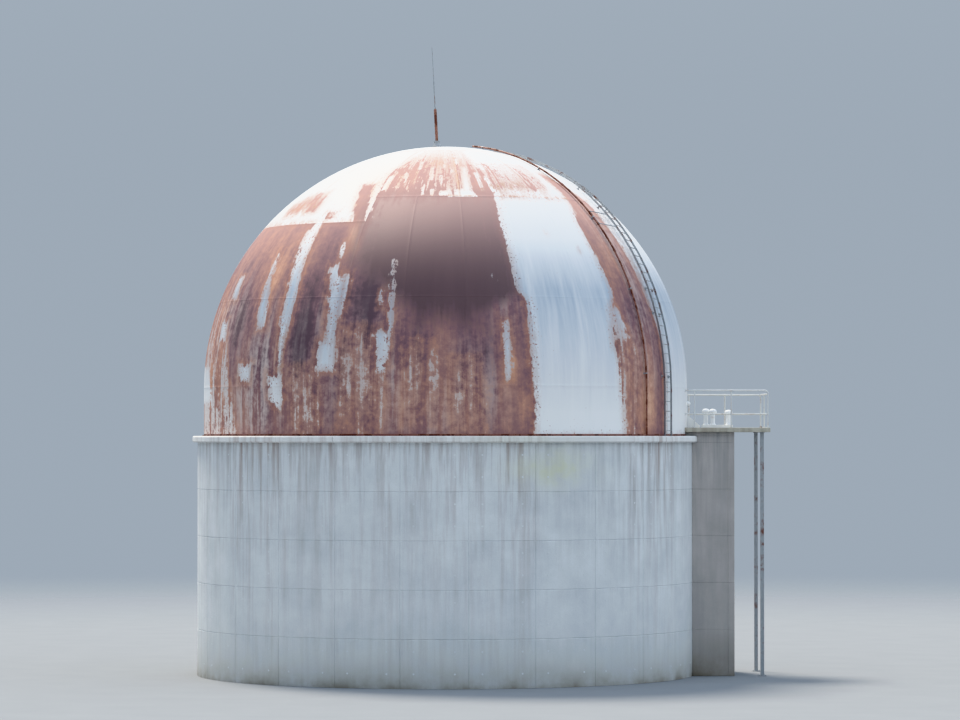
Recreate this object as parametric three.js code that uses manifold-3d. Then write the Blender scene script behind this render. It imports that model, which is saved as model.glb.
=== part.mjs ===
// Observatory dome: a stilted hemisphere of painted steel plate on a round concrete drum, with a mast on
// its crown, a ladder and a conduit up its flank, and a railed deck on a narrow annex at one side.
// Millimetres, +Z up. The front faces -Y. Pieces are made about the drum's axis, and the whole is then moved
// so that the origin is at ground level in the middle of the footprint's box.
// An azimuth is in degrees from the front (-Y), growing towards the right (+X).

import * as THREE from 'three';
import { mergeVertices } from 'three/addons/utils/BufferGeometryUtils.js';
import Module from 'manifold-3d';

// Driving dimensions
const DOME_RADIUS = 7620;
const PLATE = 10;
const SKIRT_HEIGHT = 1510;
const WALL_RADIUS = 7820;
const WALL_THICKNESS = 300;
const WALL_HEIGHT = 7300;
const LEDGE_RADIUS = 7980;
const LEDGE_THICKNESS = 200;
const LEDGE_CHAMFER = 35;
const GAP = 0.3;

// How far solids that are joined or cut reach into each other
const OVERLAP = 1;

const LEDGE_TOP = WALL_HEIGHT + LEDGE_THICKNESS;
const SPRING = LEDGE_TOP + SKIRT_HEIGHT;
const GAP_DEGREES = THREE.MathUtils.radToDeg(GAP / DOME_RADIUS);

// Plate layout: gores of 45 degrees, whose upper edges step from one quarter to the next
const FIRST_SEAM = -25;
const GORE_COUNT = 8;
const QUARTER_COUNT = 4;
const HIGH_SEAM = 49.4;
const LOW_SEAM = 41;
const CAP_SEAM = 76;
const FACETS = 72;
const ROW_DEGREES = 5;

// Mast on the crown
const MAST_OFFSET = -270;
const MAST_LEAN = 3;
const FOOT_RADIUS = 210;
const FOOT_HEIGHT = 130;
const COLLAR_RADIUS = 90;
const COLLAR_TOP = 208;
const PIPE_RADIUS = 45;
const PIPE_LENGTH = 1100;
const WHIP_RADIUS = 18;
const WHIP_LENGTH = 1950;

// Ladder and conduit, each in an upright plane beside the one through the crown at this azimuth
const FLANK_AZIMUTH = 50;
const LADDER_OFFSET = 1650;
const LADDER_WIDTH = 460;
const LADDER_ENDS = [0, 20, 52, 84];
const LADDER_NAMES = ['ladder_lower', 'ladder_middle', 'ladder_upper'];
const STRINGER_DEPTH = 65;
const STRINGER_THICKNESS = 12;
const STANDOFF = 65;
const RUNG_RADIUS = 12;
const RUNG_SPACING = 300;
const LUG_RADIUS = 20;
const LADDER_LUG_SHARES = [0.12, 0.88];
const CONDUIT_LUG_ANGLES = [3, 23, 43, 63, 81];
const CONDUIT_OFFSET = 370;
const CONDUIT_RADIUS = 30;
const CONDUIT_STANDOFF = 40;
const CONDUIT_END = 84;
const TIE_ANGLES = [41, 45];
const TIE_RADIUS = 16;

// Deck and the annex under it
const DECK_TOP = LEDGE_TOP + 260;
const DECK_THICKNESS = 140;
const DECK_END = 10150;
const DECK_HALF_WIDTH = 1500;
const ANNEX_END = 9030;
const ANNEX_HALF_WIDTH = 1350;
const ANNEX_WALL = 200;
const DOOR_WIDTH = 900;
const DOOR_HEIGHT = 2100;
const DOOR_SILL = 60;
const DOOR_THICKNESS = 45;
const DOOR_SETBACK = 60;
const POST_SIZE = 110;
const POST_INSET = 245;
const RAIL_TOP = 1160;
const RAIL_MIDDLE = 430;
const RAIL_RADIUS = 24;
const RAIL_INSET = 70;
const RAIL_POST_SPACING = 1150;
const BACK_RAIL_DROP = 110;

// Steps from the deck to the hatch in the skirt, and the vents beside them
const STEP_RISE = 140;
const STEP_COUNT = 2;
const STEP_GOING = 150;
const STEP_WIDTH = 640;
const STEP_REACH = 390;
const TREAD_DEPTH = 225;
const TREAD_THICKNESS = 30;
const STRINGER_PLATE = 14;
const STRINGER_TOE = 60;
const HATCH_WIDTH = 640;
const HATCH_HEIGHT = 760;
const HATCH_SILL = 420;
const VENT_SPOTS = [
  { x: 8180, y: -720, height: 600 },
  { x: 8385, y: -890, height: 590 },
  { x: 8890, y: -770, height: 560 },
];
const VENT_RADIUS = 70;
const VENT_CAP_RADIUS = 125;
const VENT_CAP_HEIGHT = 130;
const CURB_HEIGHT = 90;
const CURB_MARGIN = 110;

const wasm = await Module();
wasm.setup();

const UP = new THREE.Vector3(0, 0, 1);
const DOME_CENTRE = new THREE.Vector3(0, 0, SPRING);

function radians(degrees) {
  return THREE.MathUtils.degToRad(degrees);
}

// The level unit vector at an azimuth
function heading(azimuth) {
  return new THREE.Vector3(Math.sin(radians(azimuth)), -Math.cos(radians(azimuth)), 0);
}

// A closed three.js geometry as a solid that can be joined and cut
function solid(geometry) {
  const bare = geometry.clone();
  bare.deleteAttribute('normal');
  bare.deleteAttribute('uv');
  const merged = mergeVertices(bare, 1e-3);
  const vertProperties = new Float32Array(merged.attributes.position.array);
  const triVerts = new Uint32Array(merged.index.array);
  return new wasm.Manifold(new wasm.Mesh({ numProp: 3, vertProperties, triVerts }));
}

function geometryOf(shape) {
  const mesh = shape.getMesh();
  const geometry = new THREE.BufferGeometry();
  geometry.setAttribute('position', new THREE.BufferAttribute(new Float32Array(mesh.vertProperties), 3));
  geometry.setIndex(new THREE.BufferAttribute(new Uint32Array(mesh.triVerts), 1));
  geometry.computeVertexNormals();
  return geometry;
}

function joined(shapes) {
  return shapes.reduce((whole, shape) => whole.add(shape));
}

function box(low, high) {
  const size = high.map((value, axis) => value - low[axis]);
  const geometry = new THREE.BoxGeometry(...size);
  geometry.translate(...low.map((value, axis) => value + size[axis] / 2));
  return solid(geometry);
}

// A round bar from one point to another
function bar(from, to, radius, sides = 8) {
  const along = to.clone().sub(from);
  const geometry = new THREE.CylinderGeometry(radius, radius, along.length(), sides);
  geometry.rotateX(Math.PI / 2);
  geometry.applyQuaternion(new THREE.Quaternion().setFromUnitVectors(UP, along.clone().normalize()));
  const middle = from.clone().add(to).multiplyScalar(0.5);
  geometry.translate(middle.x, middle.y, middle.z);
  return solid(geometry);
}

// A profile of (radius, height) points, closed on itself or ending on the axis, turned about the axis
function turned(profile, facets = FACETS) {
  const points = profile.map(([radius, height]) => new THREE.Vector2(radius, height));
  const geometry = new THREE.LatheGeometry(points, facets, radians(FIRST_SEAM));
  geometry.rotateX(Math.PI / 2);
  return solid(geometry);
}

// Even steps from one angle to another, both ends with them
function spread(from, to) {
  const steps = Math.ceil((to - from) / ROW_DEGREES);
  return Array.from({ length: steps + 1 }, (_, step) => THREE.MathUtils.lerp(from, to, step / steps));
}

// The latitudes of every row of facets, which all plates share
const SEAMS = [0, LOW_SEAM, HIGH_SEAM, CAP_SEAM, 90];
const ROWS = SEAMS.slice(1).flatMap((seam, index) => spread(SEAMS[index], seam).slice(1));

// Points of the dome's section from one latitude up to another, on a sphere about the springing centre
function arc(radius, fromLatitude, toLatitude) {
  const between = ROWS.filter((row) => row > fromLatitude + GAP_DEGREES && row < toLatitude - GAP_DEGREES);
  return [fromLatitude, ...between, toLatitude].map((latitude) => [
    radius * Math.cos(radians(latitude)),
    SPRING + radius * Math.sin(radians(latitude)),
  ]);
}

// An upright wedge between two azimuths, held half a gap inside each of them
function wedge(fromAzimuth, toAzimuth) {
  const reach = 3 * DOME_RADIUS;
  const middle = heading((fromAzimuth + toAzimuth) / 2);
  const half = radians(toAzimuth - fromAzimuth) / 2;
  const tip = middle.clone().multiplyScalar(GAP / 2 / Math.sin(half));
  const corners = [
    tip,
    tip.clone().addScaledVector(heading(fromAzimuth), reach),
    tip.clone().addScaledVector(middle, reach * 1.5),
    tip.clone().addScaledVector(heading(toAzimuth), reach),
  ];
  const outline = new THREE.Shape(corners.map(({ x, y }) => new THREE.Vector2(x, y)));
  const geometry = new THREE.ExtrudeGeometry(outline, { depth: reach, bevelEnabled: false });
  return solid(geometry);
}

function sectors(shape, count) {
  const span = 360 / count;
  return Array.from({ length: count }, (_, index) => {
    const start = FIRST_SEAM + index * span;
    return shape(index).intersect(wedge(start, start + span));
  });
}

// The whole outer surface with a gap's clearance, which trims what stands against it
function makeEnvelope() {
  const grown = DOME_RADIUS + GAP;
  return turned([
    [0, -GAP],
    [WALL_RADIUS + GAP, -GAP],
    [WALL_RADIUS + GAP, WALL_HEIGHT - GAP],
    [LEDGE_RADIUS + GAP, WALL_HEIGHT - GAP],
    [LEDGE_RADIUS + GAP, LEDGE_TOP + GAP],
    [grown, LEDGE_TOP + GAP],
    ...arc(grown, 0, 90).slice(0, -1),
    [0, SPRING + grown],
  ]);
}

// Drum wall and the ledge on it
function makeWall() {
  const inner = WALL_RADIUS - WALL_THICKNESS;
  return turned([
    [inner, 0],
    [WALL_RADIUS, 0],
    [WALL_RADIUS, WALL_HEIGHT - GAP],
    [inner, WALL_HEIGHT - GAP],
    [inner, 0],
  ]);
}

function makeLedge() {
  const inner = WALL_RADIUS - WALL_THICKNESS;
  const brow = LEDGE_RADIUS - LEDGE_CHAMFER;
  return turned([
    [inner, WALL_HEIGHT],
    [brow, WALL_HEIGHT],
    [LEDGE_RADIUS, WALL_HEIGHT + LEDGE_CHAMFER],
    [LEDGE_RADIUS, LEDGE_TOP - LEDGE_CHAMFER],
    [brow, LEDGE_TOP],
    [inner, LEDGE_TOP],
    [inner, WALL_HEIGHT],
  ]);
}

// The seam between the gores of a quarter and its crown plate
function seamLatitude(quarter) {
  return quarter % 2 === 0 ? HIGH_SEAM : LOW_SEAM;
}

function makeGoreRing(quarter) {
  const inner = DOME_RADIUS - PLATE;
  const top = seamLatitude(quarter) - GAP_DEGREES;
  return turned([
    [inner, LEDGE_TOP + GAP],
    [DOME_RADIUS, LEDGE_TOP + GAP],
    ...arc(DOME_RADIUS, 0, top),
    ...arc(inner, 0, top).reverse(),
    [inner, LEDGE_TOP + GAP],
  ]);
}

function makeCrownRing(quarter) {
  const inner = DOME_RADIUS - PLATE;
  const bottom = seamLatitude(quarter);
  const top = CAP_SEAM - GAP_DEGREES;
  const outerArc = arc(DOME_RADIUS, bottom, top);
  return turned([...outerArc, ...arc(inner, bottom, top).reverse(), outerArc[0]]);
}

function makeCrownCap() {
  const inner = DOME_RADIUS - PLATE;
  const rise = arc(DOME_RADIUS, CAP_SEAM, 90).slice(0, -1);
  const fall = arc(inner, CAP_SEAM, 90).slice(0, -1).reverse();
  return turned([[0, SPRING + inner], ...fall, ...rise, [0, SPRING + DOME_RADIUS]]);
}

// Mast: a pedestal on the crown, a pipe and a thin whip, all on one leaning line
const lean = new THREE.Vector3(-Math.sin(radians(MAST_LEAN)), 0, Math.cos(radians(MAST_LEAN)));
const mastRoot = new THREE.Vector3(MAST_OFFSET, 0, SPRING + Math.sqrt(DOME_RADIUS ** 2 - MAST_OFFSET ** 2));

function mastPoint(distance) {
  return mastRoot.clone().addScaledVector(lean, distance);
}

function makeMastFoot(envelope) {
  const pedestal = bar(mastPoint(-FOOT_HEIGHT), mastPoint(FOOT_HEIGHT), FOOT_RADIUS, 24);
  const collar = bar(mastPoint(0), mastPoint(COLLAR_TOP), COLLAR_RADIUS, 16);
  const socket = bar(mastPoint(FOOT_HEIGHT), mastPoint(FOOT_HEIGHT * 2), PIPE_RADIUS + GAP, 16);
  return joined([pedestal, collar]).subtract(socket).subtract(envelope);
}

function makeMastPipe() {
  return bar(mastPoint(FOOT_HEIGHT + GAP), mastPoint(FOOT_HEIGHT + PIPE_LENGTH), PIPE_RADIUS, 16);
}

function makeMastWhip() {
  const start = FOOT_HEIGHT + PIPE_LENGTH + GAP;
  return bar(mastPoint(start), mastPoint(start + WHIP_LENGTH), WHIP_RADIUS, 8);
}

// Flank planes: one axis points at FLANK_AZIMUTH, the other, across the planes, a quarter turn on
const flankOut = heading(FLANK_AZIMUTH);
const flankAcross = heading(FLANK_AZIMUTH + 90);

// The radius, in the plane at an offset, of a line that stands off the dome
function planeRadius(offset, standoff) {
  return Math.sqrt((DOME_RADIUS + standoff) ** 2 - offset ** 2);
}

function flankPoint(offset, radius, angle) {
  const rise = Math.max(0, Math.sin(radians(angle))) * radius;
  return DOME_CENTRE.clone()
    .addScaledVector(flankAcross, offset)
    .addScaledVector(flankOut, Math.cos(radians(angle)) * radius)
    .addScaledVector(UP, rise);
}

// A flat strip in a flank plane, between two radii and two angles; at angle 0 it goes on down to the ledge
function flankStrip(offset, thickness, innerRadius, outerRadius, fromAngle, toAngle) {
  const outline = new THREE.Shape();
  const angles = spread(fromAngle, toAngle).map(radians);
  const outerSide = angles.map((angle) => [outerRadius * Math.cos(angle), outerRadius * Math.sin(angle)]);
  const innerSide = angles.map((angle) => [innerRadius * Math.cos(angle), innerRadius * Math.sin(angle)]);
  if (fromAngle === 0) {
    outerSide.unshift([outerRadius, GAP - SKIRT_HEIGHT]);
    innerSide.unshift([innerRadius, GAP - SKIRT_HEIGHT]);
  }
  outline.setFromPoints([...outerSide, ...innerSide.reverse()].map(([x, y]) => new THREE.Vector2(x, y)));
  return extrudedAcross(outline, offset - thickness / 2, offset + thickness / 2);
}

// An outline in the flank planes, with its zero at the springing centre, from one offset to another
function extrudedAcross(outline, fromOffset, toOffset) {
  const depth = toOffset - fromOffset;
  const geometry = new THREE.ExtrudeGeometry(outline, { depth, bevelEnabled: false });
  geometry.applyMatrix4(new THREE.Matrix4().makeBasis(flankOut, UP, flankOut.clone().cross(UP)));
  const start = DOME_CENTRE.clone().addScaledVector(flankAcross, toOffset);
  geometry.translate(start.x, start.y, start.z);
  return solid(geometry);
}

// A lug from a point above the dome down to its skin, square to the skin
function lug(point, envelope) {
  const centre = point.z < SPRING ? new THREE.Vector3(0, 0, point.z) : DOME_CENTRE;
  const inward = centre.clone().sub(point).normalize();
  const foot = point.clone().addScaledVector(inward, STANDOFF * 2);
  return bar(point, foot, LUG_RADIUS, 6).subtract(envelope);
}

// The middle of a ladder stringer at an angle in its own plane; the two stringers follow the dome's curve
function stringerPoint(side, angle) {
  const offset = LADDER_OFFSET + (side * LADDER_WIDTH) / 2;
  return flankPoint(offset, planeRadius(offset, STANDOFF) + STRINGER_DEPTH / 2, angle);
}

function makeLadderSection(fromAngle, toAngle, envelope) {
  const sides = [-1, 1];
  const end = toAngle - GAP_DEGREES;
  const pieces = sides.map((side) => {
    const offset = LADDER_OFFSET + (side * LADDER_WIDTH) / 2;
    const inner = planeRadius(offset, STANDOFF);
    return flankStrip(offset, STRINGER_THICKNESS, inner, inner + STRINGER_DEPTH, fromAngle, end);
  });
  const count = Math.round((radians(toAngle - fromAngle) * DOME_RADIUS) / RUNG_SPACING);
  for (let rung = 0; rung < count; rung += 1) {
    const angle = THREE.MathUtils.lerp(fromAngle, toAngle, (rung + 0.5) / count);
    pieces.push(bar(stringerPoint(-1, angle), stringerPoint(1, angle), RUNG_RADIUS, 6));
  }
  if (fromAngle === 0) {
    for (let drop = RUNG_SPACING / 2; drop < SKIRT_HEIGHT - RUNG_SPACING / 2; drop += RUNG_SPACING) {
      const [near, far] = sides.map((side) => stringerPoint(side, 0).addScaledVector(UP, -drop));
      pieces.push(bar(near, far, RUNG_RADIUS, 6));
    }
  }
  for (const share of LADDER_LUG_SHARES) {
    const angle = THREE.MathUtils.lerp(fromAngle, toAngle, share);
    pieces.push(...sides.map((side) => lug(stringerPoint(side, angle), envelope)));
  }
  return joined(pieces);
}

// The conduit follows its flank plane from the ledge to beside the crown
function makeConduit(envelope) {
  const radius = planeRadius(CONDUIT_OFFSET, CONDUIT_STANDOFF + CONDUIT_RADIUS);
  const width = CONDUIT_RADIUS * 2;
  const strip = flankStrip(
    CONDUIT_OFFSET,
    width,
    radius - CONDUIT_RADIUS,
    radius + CONDUIT_RADIUS,
    0,
    CONDUIT_END,
  );
  const lugs = CONDUIT_LUG_ANGLES.map((angle) => lug(flankPoint(CONDUIT_OFFSET, radius, angle), envelope));
  return joined([strip, ...lugs]);
}

// Two bars and their ends between the conduit and the ladder's near stringer
function makeTieFrame() {
  const nearOffset = CONDUIT_OFFSET + CONDUIT_RADIUS + GAP;
  const farOffset = LADDER_OFFSET - (LADDER_WIDTH + STRINGER_THICKNESS) / 2 - GAP;
  const nearRadius = planeRadius(CONDUIT_OFFSET, CONDUIT_STANDOFF + CONDUIT_RADIUS);
  const farRadius = planeRadius(farOffset, STANDOFF) + STRINGER_DEPTH / 2;
  const corners = TIE_ANGLES.map((angle) => [
    flankPoint(nearOffset, nearRadius, angle),
    flankPoint(farOffset, farRadius, angle),
  ]);
  const inset = TIE_RADIUS / (farOffset - nearOffset);
  const pieces = corners.map(([near, far]) =>
    bar(near.clone().lerp(far, -inset), near.clone().lerp(far, 1 + inset), TIE_RADIUS, 6),
  );
  for (const share of [inset * 3, 1 - inset * 3]) {
    const ends = corners.map(([near, far]) => near.clone().lerp(far, share));
    pieces.push(bar(ends[0], ends[1], TIE_RADIUS * 0.8, 6));
  }
  const wide = new THREE.Shape().absarc(0, 0, 2 * DOME_RADIUS, 0, 2 * Math.PI);
  return joined(pieces).intersect(extrudedAcross(wide, nearOffset, farOffset));
}

// Annex: three walls against the drum, with a doorway in the end wall
function makeAnnexSide(side, envelope) {
  const outer = side * ANNEX_HALF_WIDTH;
  const inner = side * (ANNEX_HALF_WIDTH - ANNEX_WALL);
  const low = [WALL_RADIUS - ANNEX_WALL, Math.min(outer, inner), 0];
  const high = [ANNEX_END - ANNEX_WALL - GAP, Math.max(outer, inner), DECK_TOP - DECK_THICKNESS - GAP];
  return box(low, high).subtract(envelope);
}

function makeAnnexEnd() {
  const start = ANNEX_END - ANNEX_WALL;
  const top = DECK_TOP - DECK_THICKNESS - GAP;
  const wall = box([start, -ANNEX_HALF_WIDTH, 0], [ANNEX_END, ANNEX_HALF_WIDTH, top]);
  const half = DOOR_WIDTH / 2;
  const doorway = box(
    [start - OVERLAP, -half, DOOR_SILL],
    [ANNEX_END + OVERLAP, half, DOOR_SILL + DOOR_HEIGHT],
  );
  return wall.subtract(doorway);
}

function makeDoor() {
  const half = DOOR_WIDTH / 2 - GAP;
  const face = ANNEX_END - DOOR_SETBACK;
  return box(
    [face - DOOR_THICKNESS, -half, DOOR_SILL + GAP],
    [face, half, DOOR_SILL + DOOR_HEIGHT - GAP],
  );
}

// Deck slab, its two posts and its guard rails
function makeDeck(envelope) {
  const low = [DOME_RADIUS - 3 * DECK_THICKNESS, -DECK_HALF_WIDTH, DECK_TOP - DECK_THICKNESS];
  return box(low, [DECK_END, DECK_HALF_WIDTH, DECK_TOP]).subtract(envelope);
}

function makeDeckPost(side) {
  const x = DECK_END - POST_INSET;
  const y = side * (DECK_HALF_WIDTH - POST_INSET);
  const half = POST_SIZE / 2;
  return box([x - half, y - half, 0], [x + half, y + half, DECK_TOP - DECK_THICKNESS - GAP]);
}

function railPost(x, y, height) {
  const base = new THREE.Vector3(x, y, DECK_TOP + GAP);
  return bar(base, base.clone().setZ(DECK_TOP + height + RAIL_RADIUS), RAIL_RADIUS);
}

function railBetween(from, to, height) {
  const [start, end] = [from, to].map(([x, y]) => new THREE.Vector3(x, y, DECK_TOP + height));
  return bar(start, end, RAIL_RADIUS);
}

function makeLongRail(side, height, envelope) {
  const y = side * (DECK_HALF_WIDTH - RAIL_INSET);
  const end = DECK_END - RAIL_INSET;
  const start = Math.sqrt(DOME_RADIUS ** 2 - y ** 2) - RAIL_RADIUS;
  const posts = [];
  for (let x = end; x > start + RAIL_POST_SPACING / 4; x -= RAIL_POST_SPACING) {
    posts.push(railPost(x, y, height));
  }
  const rails = [height, RAIL_MIDDLE].map((level) => railBetween([start, y], [end, y], level));
  return joined([...posts, ...rails]).subtract(envelope);
}

function makeEndRail() {
  const x = DECK_END - RAIL_INSET;
  const reach = DECK_HALF_WIDTH - RAIL_INSET - RAIL_RADIUS - GAP;
  const height = RAIL_TOP - BACK_RAIL_DROP;
  const rails = [height, RAIL_MIDDLE].map((level) => railBetween([x, -reach], [x, reach], level));
  return joined([railPost(x, 0, height), ...rails]);
}

// Short steps from the deck up to the hatch sill
function makeSteps(envelope) {
  const top = DOME_RADIUS;
  const foot = top + STEP_REACH;
  const rise = (STEP_COUNT + 1) * STEP_RISE;
  const half = STEP_WIDTH / 2;
  const outline = new THREE.Shape();
  outline.moveTo(top - STEP_GOING, GAP);
  outline.lineTo(foot, GAP);
  outline.lineTo(foot, STEP_RISE / 2);
  outline.lineTo(top, rise);
  outline.lineTo(top - STEP_GOING, rise);
  const pieces = [-half, half - STRINGER_PLATE].map((y) => {
    const geometry = new THREE.ExtrudeGeometry(outline, { depth: STRINGER_PLATE, bevelEnabled: false });
    geometry.rotateX(Math.PI / 2);
    geometry.translate(0, y + STRINGER_PLATE, DECK_TOP);
    return solid(geometry);
  });
  for (let step = 1; step <= STEP_COUNT; step += 1) {
    const front = foot - STRINGER_TOE - (step - 1) * STEP_GOING;
    const level = DECK_TOP + step * STEP_RISE;
    const low = [front - TREAD_DEPTH, -half + OVERLAP, level - TREAD_THICKNESS];
    pieces.push(box(low, [front, half - OVERLAP, level]));
  }
  return joined(pieces).subtract(envelope);
}

// The hatch closes an opening that is cut through the skirt, level with the steps
function hatchBlock(clearance) {
  const half = HATCH_WIDTH / 2 - clearance;
  const low = DECK_TOP + HATCH_SILL + clearance;
  const high = DECK_TOP + HATCH_SILL + HATCH_HEIGHT - clearance;
  return box([0, -half, low], [2 * DOME_RADIUS, half, high]);
}

function makeVents() {
  const xs = VENT_SPOTS.map(({ x }) => x);
  const ys = VENT_SPOTS.map(({ y }) => y);
  const low = [Math.min(...xs) - CURB_MARGIN, Math.min(...ys) - CURB_MARGIN, DECK_TOP + GAP];
  const high = [Math.max(...xs) + CURB_MARGIN, Math.max(...ys) + CURB_MARGIN, DECK_TOP + CURB_HEIGHT];
  const pieces = [box(low, high)];
  for (const { x, y, height } of VENT_SPOTS) {
    const at = (level) => new THREE.Vector3(x, y, DECK_TOP + level);
    pieces.push(bar(at(CURB_HEIGHT / 2), at(height - OVERLAP), VENT_RADIUS, 12));
    pieces.push(bar(at(height - VENT_CAP_HEIGHT), at(height), VENT_CAP_RADIUS, 12));
  }
  return joined(pieces);
}

// Finishes
function finish(color, roughness, metalness = 0) {
  return new THREE.MeshStandardMaterial({ color, roughness, metalness });
}

const finishes = {
  wall: finish(0xc6cbd0, 0.9),
  ledge: finish(0xcfd0cc, 0.85),
  rusted: finish(0x7d4a3c, 0.7, 0.1),
  white: finish(0xdfe3e6, 0.5),
  galvanised: finish(0x9aa0a4, 0.5, 0.7),
  rustedPipe: finish(0x8b4f42, 0.75, 0.2),
  rail: finish(0xd6d7d4, 0.55, 0.2),
  deck: finish(0xcfcabb, 0.85),
  door: finish(0x8d9296, 0.6, 0.2),
};

const dome = new THREE.Group();

function addPiece(name, shape, material) {
  const mesh = new THREE.Mesh(geometryOf(shape), material);
  mesh.name = name;
  dome.add(mesh);
}

const envelope = makeEnvelope();
const wall = makeWall();
const ledge = makeLedge();
const hatchGore = Math.floor((90 - FIRST_SEAM) / (360 / GORE_COUNT));
const goreRings = [0, 1].map((quarter) => makeGoreRing(quarter));
const crownRings = [0, 1].map((quarter) => makeCrownRing(quarter));

sectors(() => wall, GORE_COUNT).forEach((shape, index) => {
  addPiece(`drum_wall_${index + 1}`, shape, finishes.wall);
});
sectors(() => ledge, QUARTER_COUNT).forEach((shape, index) => {
  addPiece(`ledge_${index + 1}`, shape, finishes.ledge);
});
sectors((index) => goreRings[Math.floor(index / 2) % 2], GORE_COUNT).forEach((shape, index) => {
  const gore = index === hatchGore ? shape.subtract(hatchBlock(0)) : shape;
  addPiece(`gore_${index + 1}`, gore, index === 1 ? finishes.white : finishes.rusted);
});
addPiece('skirt_hatch', goreRings[hatchGore % 2].intersect(hatchBlock(GAP)), finishes.white);
sectors((index) => crownRings[index % 2], QUARTER_COUNT).forEach((shape, index) => {
  addPiece(`crown_plate_${index + 1}`, shape, finishes.white);
});
addPiece('crown_cap', makeCrownCap(), finishes.white);

addPiece('mast_foot', makeMastFoot(envelope), finishes.galvanised);
addPiece('mast_pipe', makeMastPipe(), finishes.rustedPipe);
addPiece('mast_whip', makeMastWhip(), finishes.galvanised);

LADDER_NAMES.forEach((name, index) => {
  const section = makeLadderSection(LADDER_ENDS[index], LADDER_ENDS[index + 1], envelope);
  addPiece(name, section, finishes.galvanised);
});
addPiece('conduit', makeConduit(envelope), finishes.rustedPipe);
addPiece('ladder_tie_frame', makeTieFrame(), finishes.galvanised);

addPiece('annex_front_wall', makeAnnexSide(-1, envelope), finishes.wall);
addPiece('annex_back_wall', makeAnnexSide(1, envelope), finishes.wall);
addPiece('annex_end_wall', makeAnnexEnd(), finishes.wall);
addPiece('annex_door', makeDoor(), finishes.door);
addPiece('deck_slab', makeDeck(envelope), finishes.deck);
addPiece('deck_post_front', makeDeckPost(-1), finishes.rail);
addPiece('deck_post_back', makeDeckPost(1), finishes.rail);
addPiece('guard_rail_front', makeLongRail(-1, RAIL_TOP, envelope), finishes.rail);
addPiece('guard_rail_back', makeLongRail(1, RAIL_TOP - BACK_RAIL_DROP, envelope), finishes.rail);
addPiece('guard_rail_end', makeEndRail(), finishes.rail);
addPiece('hatch_steps', makeSteps(envelope), finishes.rail);
addPiece('roof_vents', makeVents(), finishes.rail);

const extent = new THREE.Box3().setFromObject(dome);
dome.position.x = -(extent.min.x + extent.max.x) / 2;

export default dome;
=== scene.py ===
# %% [markdown]
# # A rusting observatory dome
# A stilted hemisphere of painted steel plate stands on a round concrete drum. A mast stands on its crown, a
# ladder and a conduit climb its right flank, and a railed deck looks out over a small annex at one side.
# Most of what the eye sees is old paint letting go of steel, so most of this lesson is about plates, welds
# and paint.
#
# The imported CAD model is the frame. Blender works in metres with Z up in that same frame, so every measure
# below is read from a CAD node or worked out from one.

import math

import bmesh
import bpy
import numpy as np
from mathutils import Matrix, Vector


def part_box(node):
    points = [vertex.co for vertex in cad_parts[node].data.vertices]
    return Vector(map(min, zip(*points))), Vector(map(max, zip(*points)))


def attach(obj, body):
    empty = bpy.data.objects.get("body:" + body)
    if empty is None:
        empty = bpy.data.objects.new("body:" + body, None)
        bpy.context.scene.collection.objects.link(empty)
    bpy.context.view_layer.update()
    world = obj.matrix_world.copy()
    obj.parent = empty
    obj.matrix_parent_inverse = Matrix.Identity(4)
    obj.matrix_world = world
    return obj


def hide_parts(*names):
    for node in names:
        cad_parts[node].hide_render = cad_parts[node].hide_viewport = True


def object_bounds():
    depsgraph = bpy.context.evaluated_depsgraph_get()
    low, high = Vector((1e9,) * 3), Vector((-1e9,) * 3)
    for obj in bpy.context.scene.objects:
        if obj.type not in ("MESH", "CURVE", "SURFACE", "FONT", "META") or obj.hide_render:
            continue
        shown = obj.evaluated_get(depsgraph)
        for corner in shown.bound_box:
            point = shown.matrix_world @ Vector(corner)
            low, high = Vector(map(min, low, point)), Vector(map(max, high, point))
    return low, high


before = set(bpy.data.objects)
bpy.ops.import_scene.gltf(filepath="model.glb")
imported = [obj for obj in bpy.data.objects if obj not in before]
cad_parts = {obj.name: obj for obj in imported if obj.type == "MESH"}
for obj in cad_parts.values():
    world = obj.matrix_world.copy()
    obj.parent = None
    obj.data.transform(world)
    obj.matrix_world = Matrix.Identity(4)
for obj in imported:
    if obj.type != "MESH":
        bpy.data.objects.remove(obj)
cad_low, cad_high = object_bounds()
print("CAD box in metres:", [round(side, 3) for side in cad_high - cad_low])

# %% [markdown]
# ## Measures
# The dome, the ledge under it and the drum wall all turn about one upright axis. The boxes of their CAD
# nodes give that axis and every radius. An azimuth is in degrees from the front, which faces -Y, and grows
# to the right. A climb is in degrees too: above the springing line it is a latitude, and below zero it goes
# on down the upright skirt at the same metres to a degree. Together they are a map of the whole steel
# sheet.

# %% Read the driving measures
WALL_THICKNESS = 0.3
PLATE = 0.01
FIRST_SEAM = -25
LOW_SEAM = 41
HIGH_SEAM = 49.4
CAP_SEAM = 76
SEAT_GAP = 0.0003
UP = Vector((0, 0, 1))


def box_of(prefix):
    """The lowest and highest corner of every CAD node whose name starts with prefix."""
    corners = [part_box(name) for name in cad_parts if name.startswith(prefix)]
    low = Vector(min(corner[0][axis] for corner in corners) for axis in range(3))
    high = Vector(max(corner[1][axis] for corner in corners) for axis in range(3))
    return low, high


def outward(azimuth):
    """The level direction away from the dome's axis at an azimuth."""
    turn = math.radians(azimuth)
    return Vector((math.sin(turn), -math.cos(turn), 0))


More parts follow.
